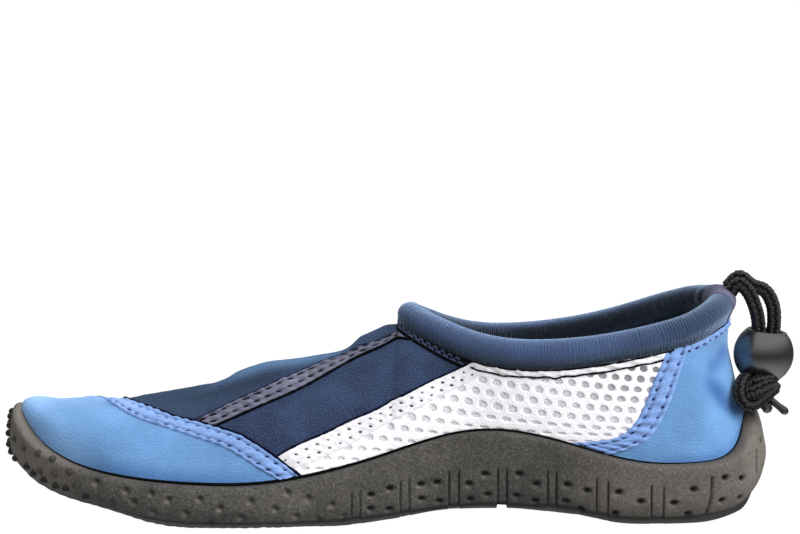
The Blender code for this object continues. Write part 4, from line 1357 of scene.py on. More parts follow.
def tape(
    name,
    line_a,
    line_b,
    high,
    finish,
    stitches=(),
    across=31,
    step=0.33,
    edge=0.12,
    pucker=0.0,
    wrinkle=0.0,
    groove=0.0,
    long=1.0,
    sink=(0.0, 0.0),
    seam=0.0,
    crest=0.0,
    seed=1,
):
    """A sewn tape between two lines on the upper. stitches: (share across, pitch, hole radius, depth,
    start). A hole is long times as long as wide. The tape goes down under others over sink mm at its
    ends. seam is how dark the painted shadow along each line of stitches is, and crest how far the tape lies
    down over the crest."""
    mid = under_tape(line_a, line_b)
    run = np.concatenate([[0], np.cumsum(np.linalg.norm(np.diff(surf(*mid), axis=0), axis=1))])
    count = max(8, int(run[-1] / step))
    at = np.linspace(0, run[-1], count)
    a = [np.interp(at, run, part) for part in line_a]
    b = [np.interp(at, run, part) for part in line_b]
    v = np.linspace(0, 1, across)
    s = a[0][:, None] * (1 - v) + b[0][:, None] * v
    q = a[1][:, None] * (1 - v) + b[1][:, None] * v
    flat = surf(s, q)
    wide = np.linalg.norm(flat[:, -1] - flat[:, 0], axis=1)
    rng = np.random.default_rng(seed)
    body = dome(v, edge)[None, :] * np.ones((count, 1))
    wave = np.interp(at, np.linspace(0, run[-1], max(4, int(run[-1] / 7))), rng.normal(0, 1, max(4, int(run[-1] / 7))))
    lift = high * body * (1 + 0.07 * wave[:, None])
    for _ in range(9 if wrinkle else 0):
        turn = rng.uniform(0, 2 * math.pi) + 2 * math.pi * (
            at[:, None] * rng.uniform(0.08, 0.40) + v[None, :] * rng.uniform(-1.6, 1.6)
        )
        lift = lift + wrinkle * 0.4 * body * np.sin(turn)
    pit_and_shade = np.zeros((count, across))
    for share, pitch, radius, depth, start in stitches:
        off = (v - share)[None, :] * wide[:, None]
        lift = lift - groove * high * np.exp(-((off / 0.8) ** 2))
        place = (at - start) / pitch
        near = (place - np.round(place)) * pitch
        jitter = 0.14 * np.sin(np.round(place) * 12.9 + seed)
        size = radius * (1 + 0.18 * np.sin(np.round(place) * 7.7 + 2 * seed))[:, None]
        spot = np.exp(-(((near[:, None] - jitter[:, None]) / (size * long)) ** 2 + (off / size) ** 2))
        lift = lift - depth * spot
        # stitch holes drawn dark, partly dark thread and partly painted shade in them, and a painted shadow along each
        # row of stitches
        pit_and_shade = np.maximum(pit_and_shade, np.clip(3.0 * spot - 0.6, 0, 1))
        pit_and_shade = np.maximum(pit_and_shade, seam * np.exp(-((off / 0.34) ** 2)))
        if pucker:
            lift = lift + pucker * np.cos(2 * math.pi * (place - 0.5))[:, None] * np.exp(
                -((off / (0.28 * wide[:, None])) ** 2)
            )
    lift = np.maximum(lift, np.where(body > 0.8, 0.16, -1.0))
    over = crest * np.exp(-(((q - 1) * ring_look(LENGTH, s) / 7.0) ** 2))
    lift = lift * (1 - over) + 0.12 * over
    ends = np.ones(count)
    if sink[0]:
        ends = ends * ease(at, 0, sink[0])
    if sink[1]:
        ends = ends * ease(run[-1] - at, 0, sink[1])
    lift = lift * ends[:, None] - 0.45 * (1 - ends[:, None])
    pit_and_shade = pit_and_shade * ease(ends, 0.4, 0.8)[:, None]
    top_points = surf(s, q, lift)
    low_a = surf(s[:, 0], q[:, 0], np.full(count, -0.6))
    low_b = surf(s[:, -1], q[:, -1], np.full(count, -0.6))
    section = np.concatenate([top_points, low_b[:, None], low_a[:, None]], 1)
    m = across + 2
    quads = sheet_quads(count, m, closed_m=True)
    points = section.reshape(-1, 3)
    pits_and_shade = np.concatenate([pit_and_shade, np.zeros((count, 2))], 1)
    weave = np.concatenate(
        [
            np.stack([np.broadcast_to(at[:, None], s.shape), v[None, :] * wide[:, None]], -1),
            np.stack([at, wide], -1)[:, None],
            np.stack([at, 0 * at], -1)[:, None],
        ],
        1,
    )
    # ends
    tris = []
    for k, flip in ((0, False), (count - 1, True)):
        loop = k * m + np.arange(m)
        fan = np.stack([np.full(m - 2, loop[-1]), loop[:-2], loop[1:-1]], -1)
        tris.append(fan if flip else fan[:, ::-1])
    tris = np.concatenate(tris)
    obj = build(
        name, points, quads[:, ::-1], tris[:, ::-1], [MATERIALS[finish]], ["upper"],
        uv=weave.reshape(-1, 2), fields={"pit_and_shade": pits_and_shade.ravel()},
    )
    fix_normals(obj)

    def place_on(length, share, off):
        """Points on the tape at lengths along it and shares across it."""
        length = np.asarray(length, float)
        aa = [np.interp(length, at, part) for part in a]
        bb = [np.interp(length, at, part) for part in b]
        ss, qq = aa[0] * (1 - share) + bb[0] * share, aa[1] * (1 - share) + bb[1] * share
        over = high * dome(np.asarray(share), edge) * (1 - groove) + off
        return surf(ss, qq, np.full(length.shape, over)), unit(look(NORMAL, ss, qq))

    return run[-1], place_on


def fix_normals(obj):
    made = bmesh.new()
    made.from_mesh(obj.data)
    bmesh.ops.recalc_face_normals(made, faces=made.faces)
    made.to_mesh(obj.data)
    made.free()


def stitch_row(length, place_on, share, pitch, start, radius, fill=0.72, off=0.05, sides=7, slant=0.0):
    """Stitches along a tape as small arched threads between its holes."""
    meshes = []
    count = int((length - start) / pitch)
    t = np.linspace(0, 1, 7)
    for k in range(count):
        begin = start + (k + 0.5 - fill / 2) * pitch
        lengths = begin + t * fill * pitch
        line, normal = place_on(lengths, share + slant * (t - 0.5), off)
        arch = radius * (1.1 * np.sin(math.pi * t) - 0.5)
        meshes.append(tube_mesh(line + normal * arch[:, None], radius, sides))
    return meshes


def dark_line_cord(line, radius, high, count=400, wave=0.0):
    """A thin dark cord along a line on the upper, which strays from it by wave mm: a painted shadow line along an edge,
    or a line of stitches.
    """
    s, q = line
    run = np.concatenate([[0], np.cumsum(np.linalg.norm(np.diff(surf(s, q), axis=0), axis=1))])
    at = np.linspace(0, run[-1], count)
    s, q = np.interp(at, run, s), np.interp(at, run, q)
    rng = np.random.default_rng(int(run[-1] * 10))
    rough = np.interp(at, np.linspace(0, run[-1], 60), rng.normal(0, 1, 60))
    if wave:
        stray = smooth(rng.normal(0, 1, 24))(at / run[-1] * 23)
        q = q + wave * stray / ring_look(LENGTH, s)
    return tube_mesh(surf(s, q, np.full(count, high)), radius * (1 + 0.14 * rough), 6)


# dark cords: stitches, and painted shadow lines along the tapes' edges and under the collar roll
threads = {"black_thread_and_shadow": [], "blue_edge_shadow": [], "navy_edge_shadow": [], "navy_thread": []}

tape(
    "toe_seam_tape", toe_a, toe_b, 0.85, "tape_blue",
    stitches=((0.22, 3.9, 0.56, 0.5, 1.0), (0.74, 3.9, 0.52, 0.5, 2.6)), edge=0.2, pucker=0.18, wrinkle=0.14,
    groove=0.48, seam=0.25, crest=0.75,
)
# painted shadow along the toe tape's upper edge
threads["blue_edge_shadow"].append(dark_line_cord(toe_b, 0.48, 0.40, 700))


def part_of(line, first, last):
    count = len(line[0])
    return tuple(one[int(first * count) : int(last * count)] for one in line)


for side, name in ((0, "inner"), (1, "outer")):
    flip = mirrored if side else (lambda line: line)
    tape(
        f"vamp_seam_tape_{name}", flip(mauve_high), flip(mauve_low), 0.85, "mauve",
        stitches=((0.20, 4.2, 0.74, 0.50, 1.0), (0.64, 4.2, 0.64, 0.45, 2.2)), edge=0.2, pucker=0.16, wrinkle=0.12,
        groove=0.48, long=1.7, seam=0.45, seed=3 + side, sink=(4.0, 5.0),
    )
    # painted shadows along the vamp tape's upper and lower edges
    threads["navy_edge_shadow"].append(dark_line_cord(part_of(flip(mauve_high), 0.03, 0.93), 0.42, 0.30))
    threads["black_thread_and_shadow"].append(dark_line_cord(part_of(flip(mauve_low), 0.05, 0.97), 0.50, 0.34))
    tape(
        f"white_seam_tape_{name}", flip(white_high), flip(white_low), 0.8, "white_tape",
        stitches=((0.34, 4.0, 0.44, 0.45, 1.0), (0.70, 4.0, 0.46, 0.45, 2.4)), edge=0.22, groove=0.34, wrinkle=0.05,
        across=37, step=0.28, seed=5 + side, sink=(8.5, 0.0),
    )
    # painted shadow along the white tape's upper edge
    threads["blue_edge_shadow"].append(dark_line_cord(part_of(flip(white_high), 0.05, 0.99), 0.46, 0.30))
    tape(
        f"heel_seam_tape_{name}", flip(heel_front), flip(heel_back), 1.0, "tape_blue",
        stitches=((0.26, 3.5, 0.52, 0.5, 1.0), (0.76, 3.9, 0.52, 0.5, 2.4)), edge=0.18, pucker=0.20, wrinkle=0.16,
        groove=0.46, seam=0.22, seed=7 + side, sink=(0.0, 9.0),
    )

# ---------------------------------------------------------------- strips and stitches under the collar


def collar_band(first, last, drop_a, drop_b, count=260):
    """Two lines under the collar's edge between rows first and last, so many mm below it."""
    rows = np.linspace(first, last, count)
    tall = ring_look(LENGTH, rows)
    return (rows, 1 - drop_a / tall), (rows, 1 - drop_b / tall)


def heel_row(q=0.97):
    return float(by_share(under_tape(heel_front, heel_back), np.array([q]))[0])


mesh_front = float(by_row((white_high[1], white_high[0]), np.array([0.97]), 5.8, 5.8)[0])
heel_at = heel_row()
for side, name in ((0, "inner"), (1, "outer")):
    flip = mirrored if side else (lambda line: line)
    a, b = collar_band(heel_at + 0.08, mesh_front + 0.05, -0.2, 2.9)
    length, on = tape(
        f"collar_strip_{name}", flip(a), flip(b), 0.7, "net", stitches=(), edge=0.3, across=16, wrinkle=0.20,
        seed=11 + side, sink=(3.0, 4.0),
    )
    a2, b2 = collar_band(heel_at + 0.20, mesh_front - 0.02, 2.4, 3.4)
    mid = under_tape(a2, b2)
    threads["black_thread_and_shadow"].append(dark_line_cord(flip(mid), 0.30, 0.60, 400, wave=0.16))
    # painted shadow under the collar roll
    a2, b2 = collar_band(heel_at + 0.05, THROAT - 0.4, 0.35, 0.75)
    threads["black_thread_and_shadow"].append(dark_line_cord(flip(under_tape(a2, b2)), 0.34, 0.75, 500))
    # painted shadow under the collar roll at the heel
    a2, b2 = collar_band(0.5, heel_at + 0.05, 0.25, 0.65)
    threads["blue_edge_shadow"].append(dark_line_cord(flip(under_tape(a2, b2)), 0.26, 0.60, 200))
    # navy part, towards the throat: a doubled row of overlock stitches
    a, b = collar_band(mesh_front + 0.05, THROAT - 0.02, -0.2, 4.2)
    length, on = tape(
        f"throat_strip_{name}", flip(a), flip(b), 0.55, "lining", stitches=(), edge=0.3, across=12, seed=13 + side,
    )
    threads["black_thread_and_shadow"] += stitch_row(length, on, 0.30, 3.0, 0.5, 0.28, fill=0.85)
    threads["black_thread_and_shadow"] += stitch_row(length, on, 0.88, 3.0, 1.4, 0.34, fill=0.7)
    threads["navy_thread"] += stitch_row(length, on, 0.36, 3.0, 2.0, 0.44, fill=0.62)
    threads["navy_thread"] += stitch_row(length, on, 0.68, 3.0, 1.0, 0.42, fill=0.62)
    # heel part
    a, b = collar_band(0.0, heel_at + 0.10, -0.2, 3.4)
    length, on = tape(
        f"heel_strip_{name}", flip(a), flip(b), 0.45, "tape_blue", stitches=((0.80, 3.2, 0.36, 0.4, 0.6),), edge=0.3,
        across=16, wrinkle=0.18, pucker=0.10, long=2.2, seed=17 + side,
    )

NAMES = {"black_thread_and_shadow": "black_stitches_and_shadows", "blue_edge_shadow": "tape_edge_shadows", "navy_edge_shadow": "vamp_edge_shadows", "navy_thread": "navy_stitches"}
for key, meshes in threads.items():
    p, q, t = gather(meshes)
    build(NAMES[key], p, q, t, [MATERIALS[key]], ["upper"])

# ---------------------------------------------------------------- air mesh

def net_place(c, r):
    """Pixel of the photograph's frame at column c and row r of the air mesh. Its rows straighten towards the
    heel and draw together there and down by the sole."""
    ahead, low = np.maximum(c, 0.0), np.maximum(r - 2.5, 0.0)
    draw = 0.16 + 0.12 * ease(-c, 1.0, 9.0)
    x = 496.2 + 14.25 * c - 7.0 * r - 0.043 * ahead**2 + 0.39 * ahead * r
    y = 382.5 + (2.75 - 0.42 * low) * c + 10.9 * r - 0.098 * ahead**2 - 0.045 * ahead * r - draw * low**2
    return np.stack(np.broadcast_arrays(x, y), -1)


def make_net():
    """Cells with oval holes, charted on the inner side as the photograph shows them and carried over to the
    outer side."""
    # a chart of the photograph's plane over the quarter
    xs, ys = np.arange(268, 712, 6.0), np.arange(346, 496, 6.0)
    gx, gy = np.meshgrid(xs, ys, indexing="ij")
    s, q = locate(np.stack([gx.ravel(), gy.ravel()], -1))
    s, q = s.reshape(gx.shape), q.reshape(gx.shape)

    def chart(x, y):
        u = np.clip((x - xs[0]) / 6.0, 0, len(xs) - 1.001)
        v = np.clip((y - ys[0]) / 6.0, 0, len(ys) - 1.001)
        i, j = u.astype(int), v.astype(int)
        u, v = u - i, v - j

        def read(g):
            return (1 - u) * ((1 - v) * g[i, j] + v * g[i, j + 1]) + u * ((1 - v) * g[i + 1, j] + v * g[i + 1, j + 1])

        return read(s), read(q)

    columns, rows = (part.ravel().astype(float) for part in np.meshgrid(np.arange(-24, 22), np.arange(-7, 15)))
    centres = net_place(columns, rows)
    cs, cq = chart(centres[:, 0], centres[:, 1])
    inside = (
        (classify(cs, cq) == 3)
        & (cq < 1 - 1.0 / ring_look(LENGTH, cs))
        & (cq > 0.80 * ring_look(RIM_SHARE, cs))
        & (centres[:, 0] > 285)
        & (centres[:, 0] < 690)
    )
    columns, rows = columns[inside], rows[inside]
    # corners of a cell in columns and rows, four points to a side, and the oval hole in it
    corners = np.array([(2, 1), (1, 2), (-1, 1), (-2, -1), (-1, -2), (1, -1)]) / 3
    part = np.linspace(0, 1, 5)[:-1, None]
    hexagon = np.concatenate([a + (b - a) * part for a, b in zip(corners, np.roll(corners, -1, 0))])
    around = len(hexagon)
    shares = np.array([1.004, 0.62, 0.28, 0.04, 0.0, -0.03])
    heights = np.array([0.395, 0.42, 0.37, 0.25, 0.06, -0.15])
    rng = np.random.default_rng(21)
    points, quads, weave = [], [], []
    for number, (c, r) in enumerate(zip(columns, rows)):
        centre = net_place(c, r)
        cell = net_place(c + hexagon[:, 0], r + hexagon[:, 1]) - centre
        along = net_place(c + 0.5, r) - net_place(c - 0.5, r)
        down = net_place(c, r + 0.5) - net_place(c, r - 0.5)
        wide = 0.300 * np.linalg.norm(along) * (1 + 0.05 * rng.normal())
        mid_s, mid_q = chart(*centre[:, None])
        clear = float(((mid_q - ring_look(RIM_SHARE, mid_s)) * ring_look(LENGTH, mid_s))[0])
        tall = 0.305 * abs(down[1]) * (1 + 0.06 * rng.normal()) * (0.42 + 0.58 * float(ease(clear, 1.5, 9.0)))
        angle = np.arctan2(cell[:, 1] / tall, cell[:, 0] / wide)
        oval = np.stack([wide * np.cos(angle), tall * np.sin(angle) + along[1] / along[0] * wide * np.cos(angle)], -1)
        place = centre + oval[:, None] + shares[None, :, None] * (cell - oval)[:, None]
        ss, qq = chart(place[..., 0], place[..., 1])
        points.append((ss, qq, np.broadcast_to(heights, ss.shape)))
        quads.append(sheet_quads(around, len(shares), closed_n=True) + number * around * len(shares))
        weave.append(place * PIXEL)
    ss = np.concatenate([p[0].ravel() for p in points])
    qq = np.concatenate([p[1].ravel() for p in points])
    hh = np.concatenate([p[2].ravel() for p in points])
    quads = np.concatenate(quads)
    weave = np.concatenate([w.reshape(-1, 2) for w in weave])
    # the cells go down under the tapes that are sewn over them
    front, back = by_share(heel_front, qq), by_share(heel_back, qq)
    under_heel = (ss - back) / (front - back)
    high, low = by_row(white_high, ss, 2.0, 0.0), by_row(white_low, ss, 2.0, 0.0)
    under_white = (high - qq) / np.maximum(high - low, 1e-6)
    toe_row = by_share(toe_b, qq)
    shown = ease(under_heel, 0.78, 0.97) * ease(under_white, 0.78, 0.97) * ease(toe_row - ss, -0.10, 0.02)
    shown = shown * ease((qq - ring_look(RIM_SHARE, ss)) * ring_look(LENGTH, ss), -0.3, 0.9)
    hh = -0.45 + (hh + 0.45) * shown
    # the outer side's rim lies lower, and the lowest cells stretch down to it
    rim = ring_look(RIM_SHARE, ss)
    drop = (rim - ring_look(RIM_SHARE, ROWS - ss)) * (1 - ease((qq - rim) * ring_look(LENGTH, ss), 0.0, 16.0))
    for side, name in ((0, "inner"), (1, "outer")):
        stations = ROWS - ss if side else ss
        build(
            f"air_mesh_{name}", surf(stations, qq - drop if side else qq, hh), quads if side else quads[:, ::-1], (),
            [MATERIALS["net"]], ["upper"], uv=weave,
        )


make_net()

# ---------------------------------------------------------------- collar binding and heel tab


def rib_noise(at, seed, pitch):
    rng = np.random.default_rng(seed)
    knots = np.arange(0, at[-1] + pitch, pitch)
    return np.interp(at, knots, rng.normal(0, 1, len(knots)))


def make_roll(name, first, last, radius, step, ribs, deep, finish, node, swell=True, seed=2):
    """The rolled binding between two stations of the collar, drawn in to the upper's edge below."""
    u = np.linspace(first, last, 2400)
    line = roll_centre(u)
    run = np.concatenate([[0], np.cumsum(np.linalg.norm(np.diff(line, axis=0), axis=1))])
    count = int(run[-1] / step)
    at = np.linspace(0, run[-1], count)
    u = np.interp(at, run, u)
    line = roll_centre(u)
    tangent = unit(np.gradient(line, axis=0))
    down = collar(u) - line
    down = unit(down - tangent * (down * tangent).sum(-1, keepdims=True))
    side = np.cross(tangent, down)
    sides = 36
    angle = np.arange(sides) * 2 * math.pi / sides
    away = np.minimum(angle, 2 * math.pi - angle)
    round_ = np.ones((count, sides)) * radius
    round_ = round_ + 1.25 * np.exp(-((away / 0.33) ** 2))[None, :] - 0.25 * np.exp(-(((away - 0.75) / 0.3) ** 2))[None, :]
    if ribs:
        place = at + 0.34 * rib_noise(at, seed + 5, 2.4)
        strength = 0.55 + 0.40 * rib_noise(at, seed + 6, 3.0)
        wave = np.cos(2 * math.pi * place / ribs)
        around = 0.35 + 0.65 * np.clip((1 - np.cos(angle)) / 2 * 1.6, 0, 1)
        fade = 0.75 + 0.25 * np.cos(3 * angle)
        round_ = round_ + deep * (strength * wave)[:, None] * (around * fade)[None, :]
        gather_ = rib_noise(at, seed + 7, 5.0)
        round_ = round_ + 0.05 * gather_[:, None] * np.exp(-((away / 1.2) ** 2))[None, :]
    if swell:
        lump = rib_noise(at, seed, 16.0)
        lump = np.convolve(np.pad(lump, 40, "edge"), np.ones(81) / 81, "valid")
        round_ = round_ * (1 + 0.012 * lump[:, None])
    rings = line[:, None] + round_[..., None] * (
        np.cos(angle)[None, :, None] * down[:, None] + np.sin(angle)[None, :, None] * side[:, None]
    )
    n = len(rings)
    points = rings.reshape(-1, 3)
    quads = sheet_quads(n, sides, closed_m=True)
    weave = np.stack(
        [np.broadcast_to(at[:, None], (n, sides)), np.broadcast_to(angle[None, :] * radius, (n, sides))], -1
    ).reshape(-1, 2)
    caps = [line[0] - tangent[0] * 0.1, line[-1] + tangent[-1] * 0.1]
    points = np.concatenate([points, caps])
    weave = np.concatenate([weave, [[0, 0], [at[-1], 0]]])
    j = np.arange(sides)
    k = (j + 1) % sides
    tris = np.concatenate(
        [
            np.stack([np.full(sides, n * sides), j, k], -1),
            np.stack([np.full(sides, n * sides + 1), (n - 1) * sides + k, (n - 1) * sides + j], -1),
        ]
    )
    # painted shade on the side that faces into the shoe, under the roll where it meets the upper, and towards the heel;
    # a painted highlight on its top towards the throat
    inward = unit((line.mean(0) - line) * np.array([1.0, 1.0, 0.0]))
    facing = (unit(rings - line[:, None]) * inward[:, None]).sum(-1)
    under = np.maximum(0.55 * (1 - ease(away, 0.6, 1.25)), 1 - ease(away, 0.42, 0.66))
    under = np.broadcast_to(under[None, :], facing.shape)
    painted_highlight = 0.6 * (1 - ease(line[:, 0], 8.0, 28.0))[:, None] * ease(-np.cos(angle), 0.1, 0.8)[None, :]
    painted_highlight = np.concatenate([painted_highlight.ravel(), [0, 0]])
    dark = np.maximum(0.96 * ease(facing, 0.25, 0.88), 0.58 * ease(line[:, 0], 72.0, 112.0)[:, None])
    painted_shade = np.concatenate([np.maximum(dark, under).ravel(), [0, 0]])
    obj = build(name, points, quads, tris, [MATERIALS[finish]], [node], uv=weave,
                fields={"shade": painted_shade, "painted_highlight": painted_highlight})
    fix_normals(obj)
    return obj


roll_first = collar_station(TAB_INNER - GAP, -1)
roll_last = 2 * THROAT + collar_station(TAB_OUTER + GAP, 1)
make_roll("collar_roll", roll_first - 0.03, roll_last + 0.03, ROLL_RADIUS, 0.175, 1.05, 0.13, "binding",
          "collar_binding")
make_roll("heel_tab_tape", collar_station(TAB_OUTER, 1), collar_station(TAB_INNER, -1), ROLL_RADIUS + 0.35, 0.2, 0.0,
          0.0, "tab", "heel_tab", swell=False)

# ---------------------------------------------------------------- insole


def make_insole():
    """A crowned footbed that follows the floor, rounded down along its edges."""
    stations = np.arange(ROWS * 8) / 8
    edge = base(stations) - outward(stations) * INSOLE_INSET
    n = len(stations)
    half = n // 2
    columns = np.linspace(0, 1, 25)
    rows = []
    for k in range(0, half + 1):
        a, b = edge[k], edge[-k % n]
        line = a + (b - a) * columns[:, None]
        side = abs(2 * columns - 1)
        crown = INSOLE - 0.9 * ease(side, 0.86, 1.0) + 0.3 * (1 - side**2)
        rows.append(line + np.stack([0 * side, 0 * side, crown], -1))
    top_rows = np.array(rows)
    low_rows = top_rows.copy()
    for k in range(half + 1):
        a, b = edge[k], edge[-k % n]
        low_rows[k] = a + (b - a) * columns[:, None] + np.array([0, 0, 0.05])
    m = len(columns)
    count = half + 1
    quads = sheet_quads(count, m)
    other = quads[:, ::-1] + count * m
    rim = np.concatenate(
        [
            np.arange(count) * m,
            (count - 1) * m + np.arange(1, m),
            (np.arange(count - 1)[::-1]) * m + m - 1,
            np.arange(m - 1)[::-1][:-1],
        ]
    )
    nxt = np.roll(rim, -1)
    walls = np.stack([rim, nxt, nxt + count * m, rim + count * m], -1)
    obj = build(
        "footbed", np.concatenate([top_rows.reshape(-1, 3), low_rows.reshape(-1, 3)]),
        np.concatenate([quads, other, walls]), (), [MATERIALS["footbed"]], ["insole"],
    )
    fix_normals(obj)


make_insole()

# ---------------------------------------------------------------- cupsole

SOLE_ROWS, SOLE_WALL, SOLE_COLUMNS = 560, 54, 26

# Channels down the sidewall, by their middle along the shoe, half width and depth, all in mm, and the share of the wall
# where they end
CHANNELS = table(
    "x half deep top",
    ("waist", -10.8, 1.45, 0.75, 0.52),
    ("arch_front", 5.9, 1.55, 0.80, 0.52),
    ("arch", 22.6, 1.65, 0.80, 0.50),
    ("arch_rear", 39.1, 1.55, 0.80, 0.50),
    ("ankle", 56.0, 1.50, 0.80, 0.54),
    ("heel_front", 73.2, 2.00, 0.80, 0.56),
    ("heel", 92.1, 2.10, 0.80, 0.58),
)
NOTCHED = 3  # the channel that cuts through the edge of the tread
# Nubs, dimples and slits of the sidewall, as pixels of the photograph on the inner side
DIMPLES = [
    (371, 495), (389.6, 488), (371, 509), (390, 508.7), (420.7, 483.8), (437.6, 482.7), (421.9, 498.3), (439.3, 501.8),
    (469, 484), (485.4, 474), (470, 499.6), (487.4, 495), (518.6, 474), (536.3, 484), (517, 495), (535.5, 501),
    (566.8, 485), (586.7, 491), (565.3, 500.8), (581, 509), (618, 491.5), (640.3, 501), (615.8, 513), (674.7, 503.4),
    (693.5, 489), (687.7, 514), (725.5, 478), (742.8, 477.9), (723, 500.7), (740.5, 497), (761.6, 440.7), (762.7, 466.7),
]
NUBS = [
    (126, 490.5), (150.5, 494), (167.4, 500.3), (134.4, 503), (153.3, 513), (186.3, 514.4), (199, 499.6), (219.3, 508.8),
    (210, 522), (241, 518), (251.5, 502.4), (274.7, 510), (264, 524), (286.6, 492.6), (296.4, 517), (309, 499), (332, 505),
    (319, 519), (344, 516), (95, 482), (112, 503),
]
TOE_NUBS = [(15, 439), (24, 448), (37.6, 453), (39.5, 471), (54, 473.6), (52.8, 459), (70, 472), (77, 485.5)]
EDGE_NUBS = [
    (8.7, 416), (8.3, 425), (8.3, 433), (8.8, 444), (11, 451.5), (16, 458), (27, 466), (34, 473.5), (44, 480), (56, 486),
    (66, 489), (86, 497),
]
SLITS = [((713, 478), (711, 500), (706, 513)), ((757, 450), (756.5, 470), (752, 488))]


def sole_section(s):
    """The sole's section at stations s, from the lower edge up its outside and over the rim."""
    foot, out = base(s), outward(s)
    rim = ring_look(RIM_SHARE, s)
    inside = [
        look(PLAIN, s, rim * share) + GAP * unit(look(PLAIN_NORMAL, s, rim * share)) for share in (1, 2 / 3, 1 / 3)
    ]
    rim_z, edge_z, thick = RIM_Z(s) + 0.9 * ease(row_of(s), 13.2, 13.8), EDGE_Z(s), RIM(s)
    bow = 1.9 * np.exp(-(((BASE_X(s) - 61.4) / 11.0) ** 2)) + 1.3 * np.exp(-(((BASE_X(s) + 93.0) / 10.0) ** 2))
    edge_z = edge_z + np.where(s <= TOE, bow, 0.0)
    rim_wide = ((inside[0] - foot) * out).sum(-1) + thick
    edge_wide, bulge, tall = EDGE_WIDE(s), BULGE(s), rim_z - edge_z

    def at(wide, z):
        p = foot + out * wide[:, None]
        return np.stack([p[:, 0], p[:, 1], z], -1)

    return [
        at(edge_wide, edge_z),
        at(edge_wide + 0.65 * (bulge - edge_wide), edge_z + 0.14 * tall),
        at(bulge, edge_z + 0.40 * tall),
        at((bulge + rim_wide) / 2, edge_z + 0.75 * tall),
        at(rim_wide, rim_z - 1.2),
        at(rim_wide - 0.35 * thick, rim_z),
        *inside,
        at(np.full(len(s), GAP), FLOOR_Z(s)),
    ]


def sole_wall(s):
    """The outside of the sole at even steps up its wall, with its corners rounded."""
    section = np.stack(sole_section(s)[:7], 1)
    run = np.cumsum(np.linalg.norm(np.diff(section, axis=1), axis=2), axis=1)
    run = np.concatenate([np.zeros((len(s), 1)), run], 1)
    t = np.linspace(0, 1, SOLE_WALL + 1)
    wall = np.empty((len(s), SOLE_WALL + 1, 3))
    for i in range(len(s)):
        for k in range(3):
            wall[i, :, k] = np.interp(t * run[i, -1], run[i], section[i, :, k])
    for _ in range(10):
        wall[:, 1:-1] = 0.25 * wall[:, :-2] + 0.5 * wall[:, 1:-1] + 0.25 * wall[:, 2:]
    return wall


def sole_stations():
    """Stations round the sole, closer together at the edges of its channels."""
    rows = np.linspace(0, TOE, SOLE_ROWS + 1)
    x = BASE_X(rows)
    extra = []
    for middle, half in zip(CHANNELS["x"], CHANNELS["half"]):
        for edge in (middle - half, middle + half):
            extra.append(np.interp(-edge - np.linspace(-0.4, 0.4, 5), -x, rows))
    rows = np.unique(np.concatenate([rows, *extra]))
    rows = rows[np.concatenate([[True], np.diff(rows) > 0.004])]
    rows[-1] = TOE
    return np.concatenate([rows, ROWS - rows[-2:0:-1]])


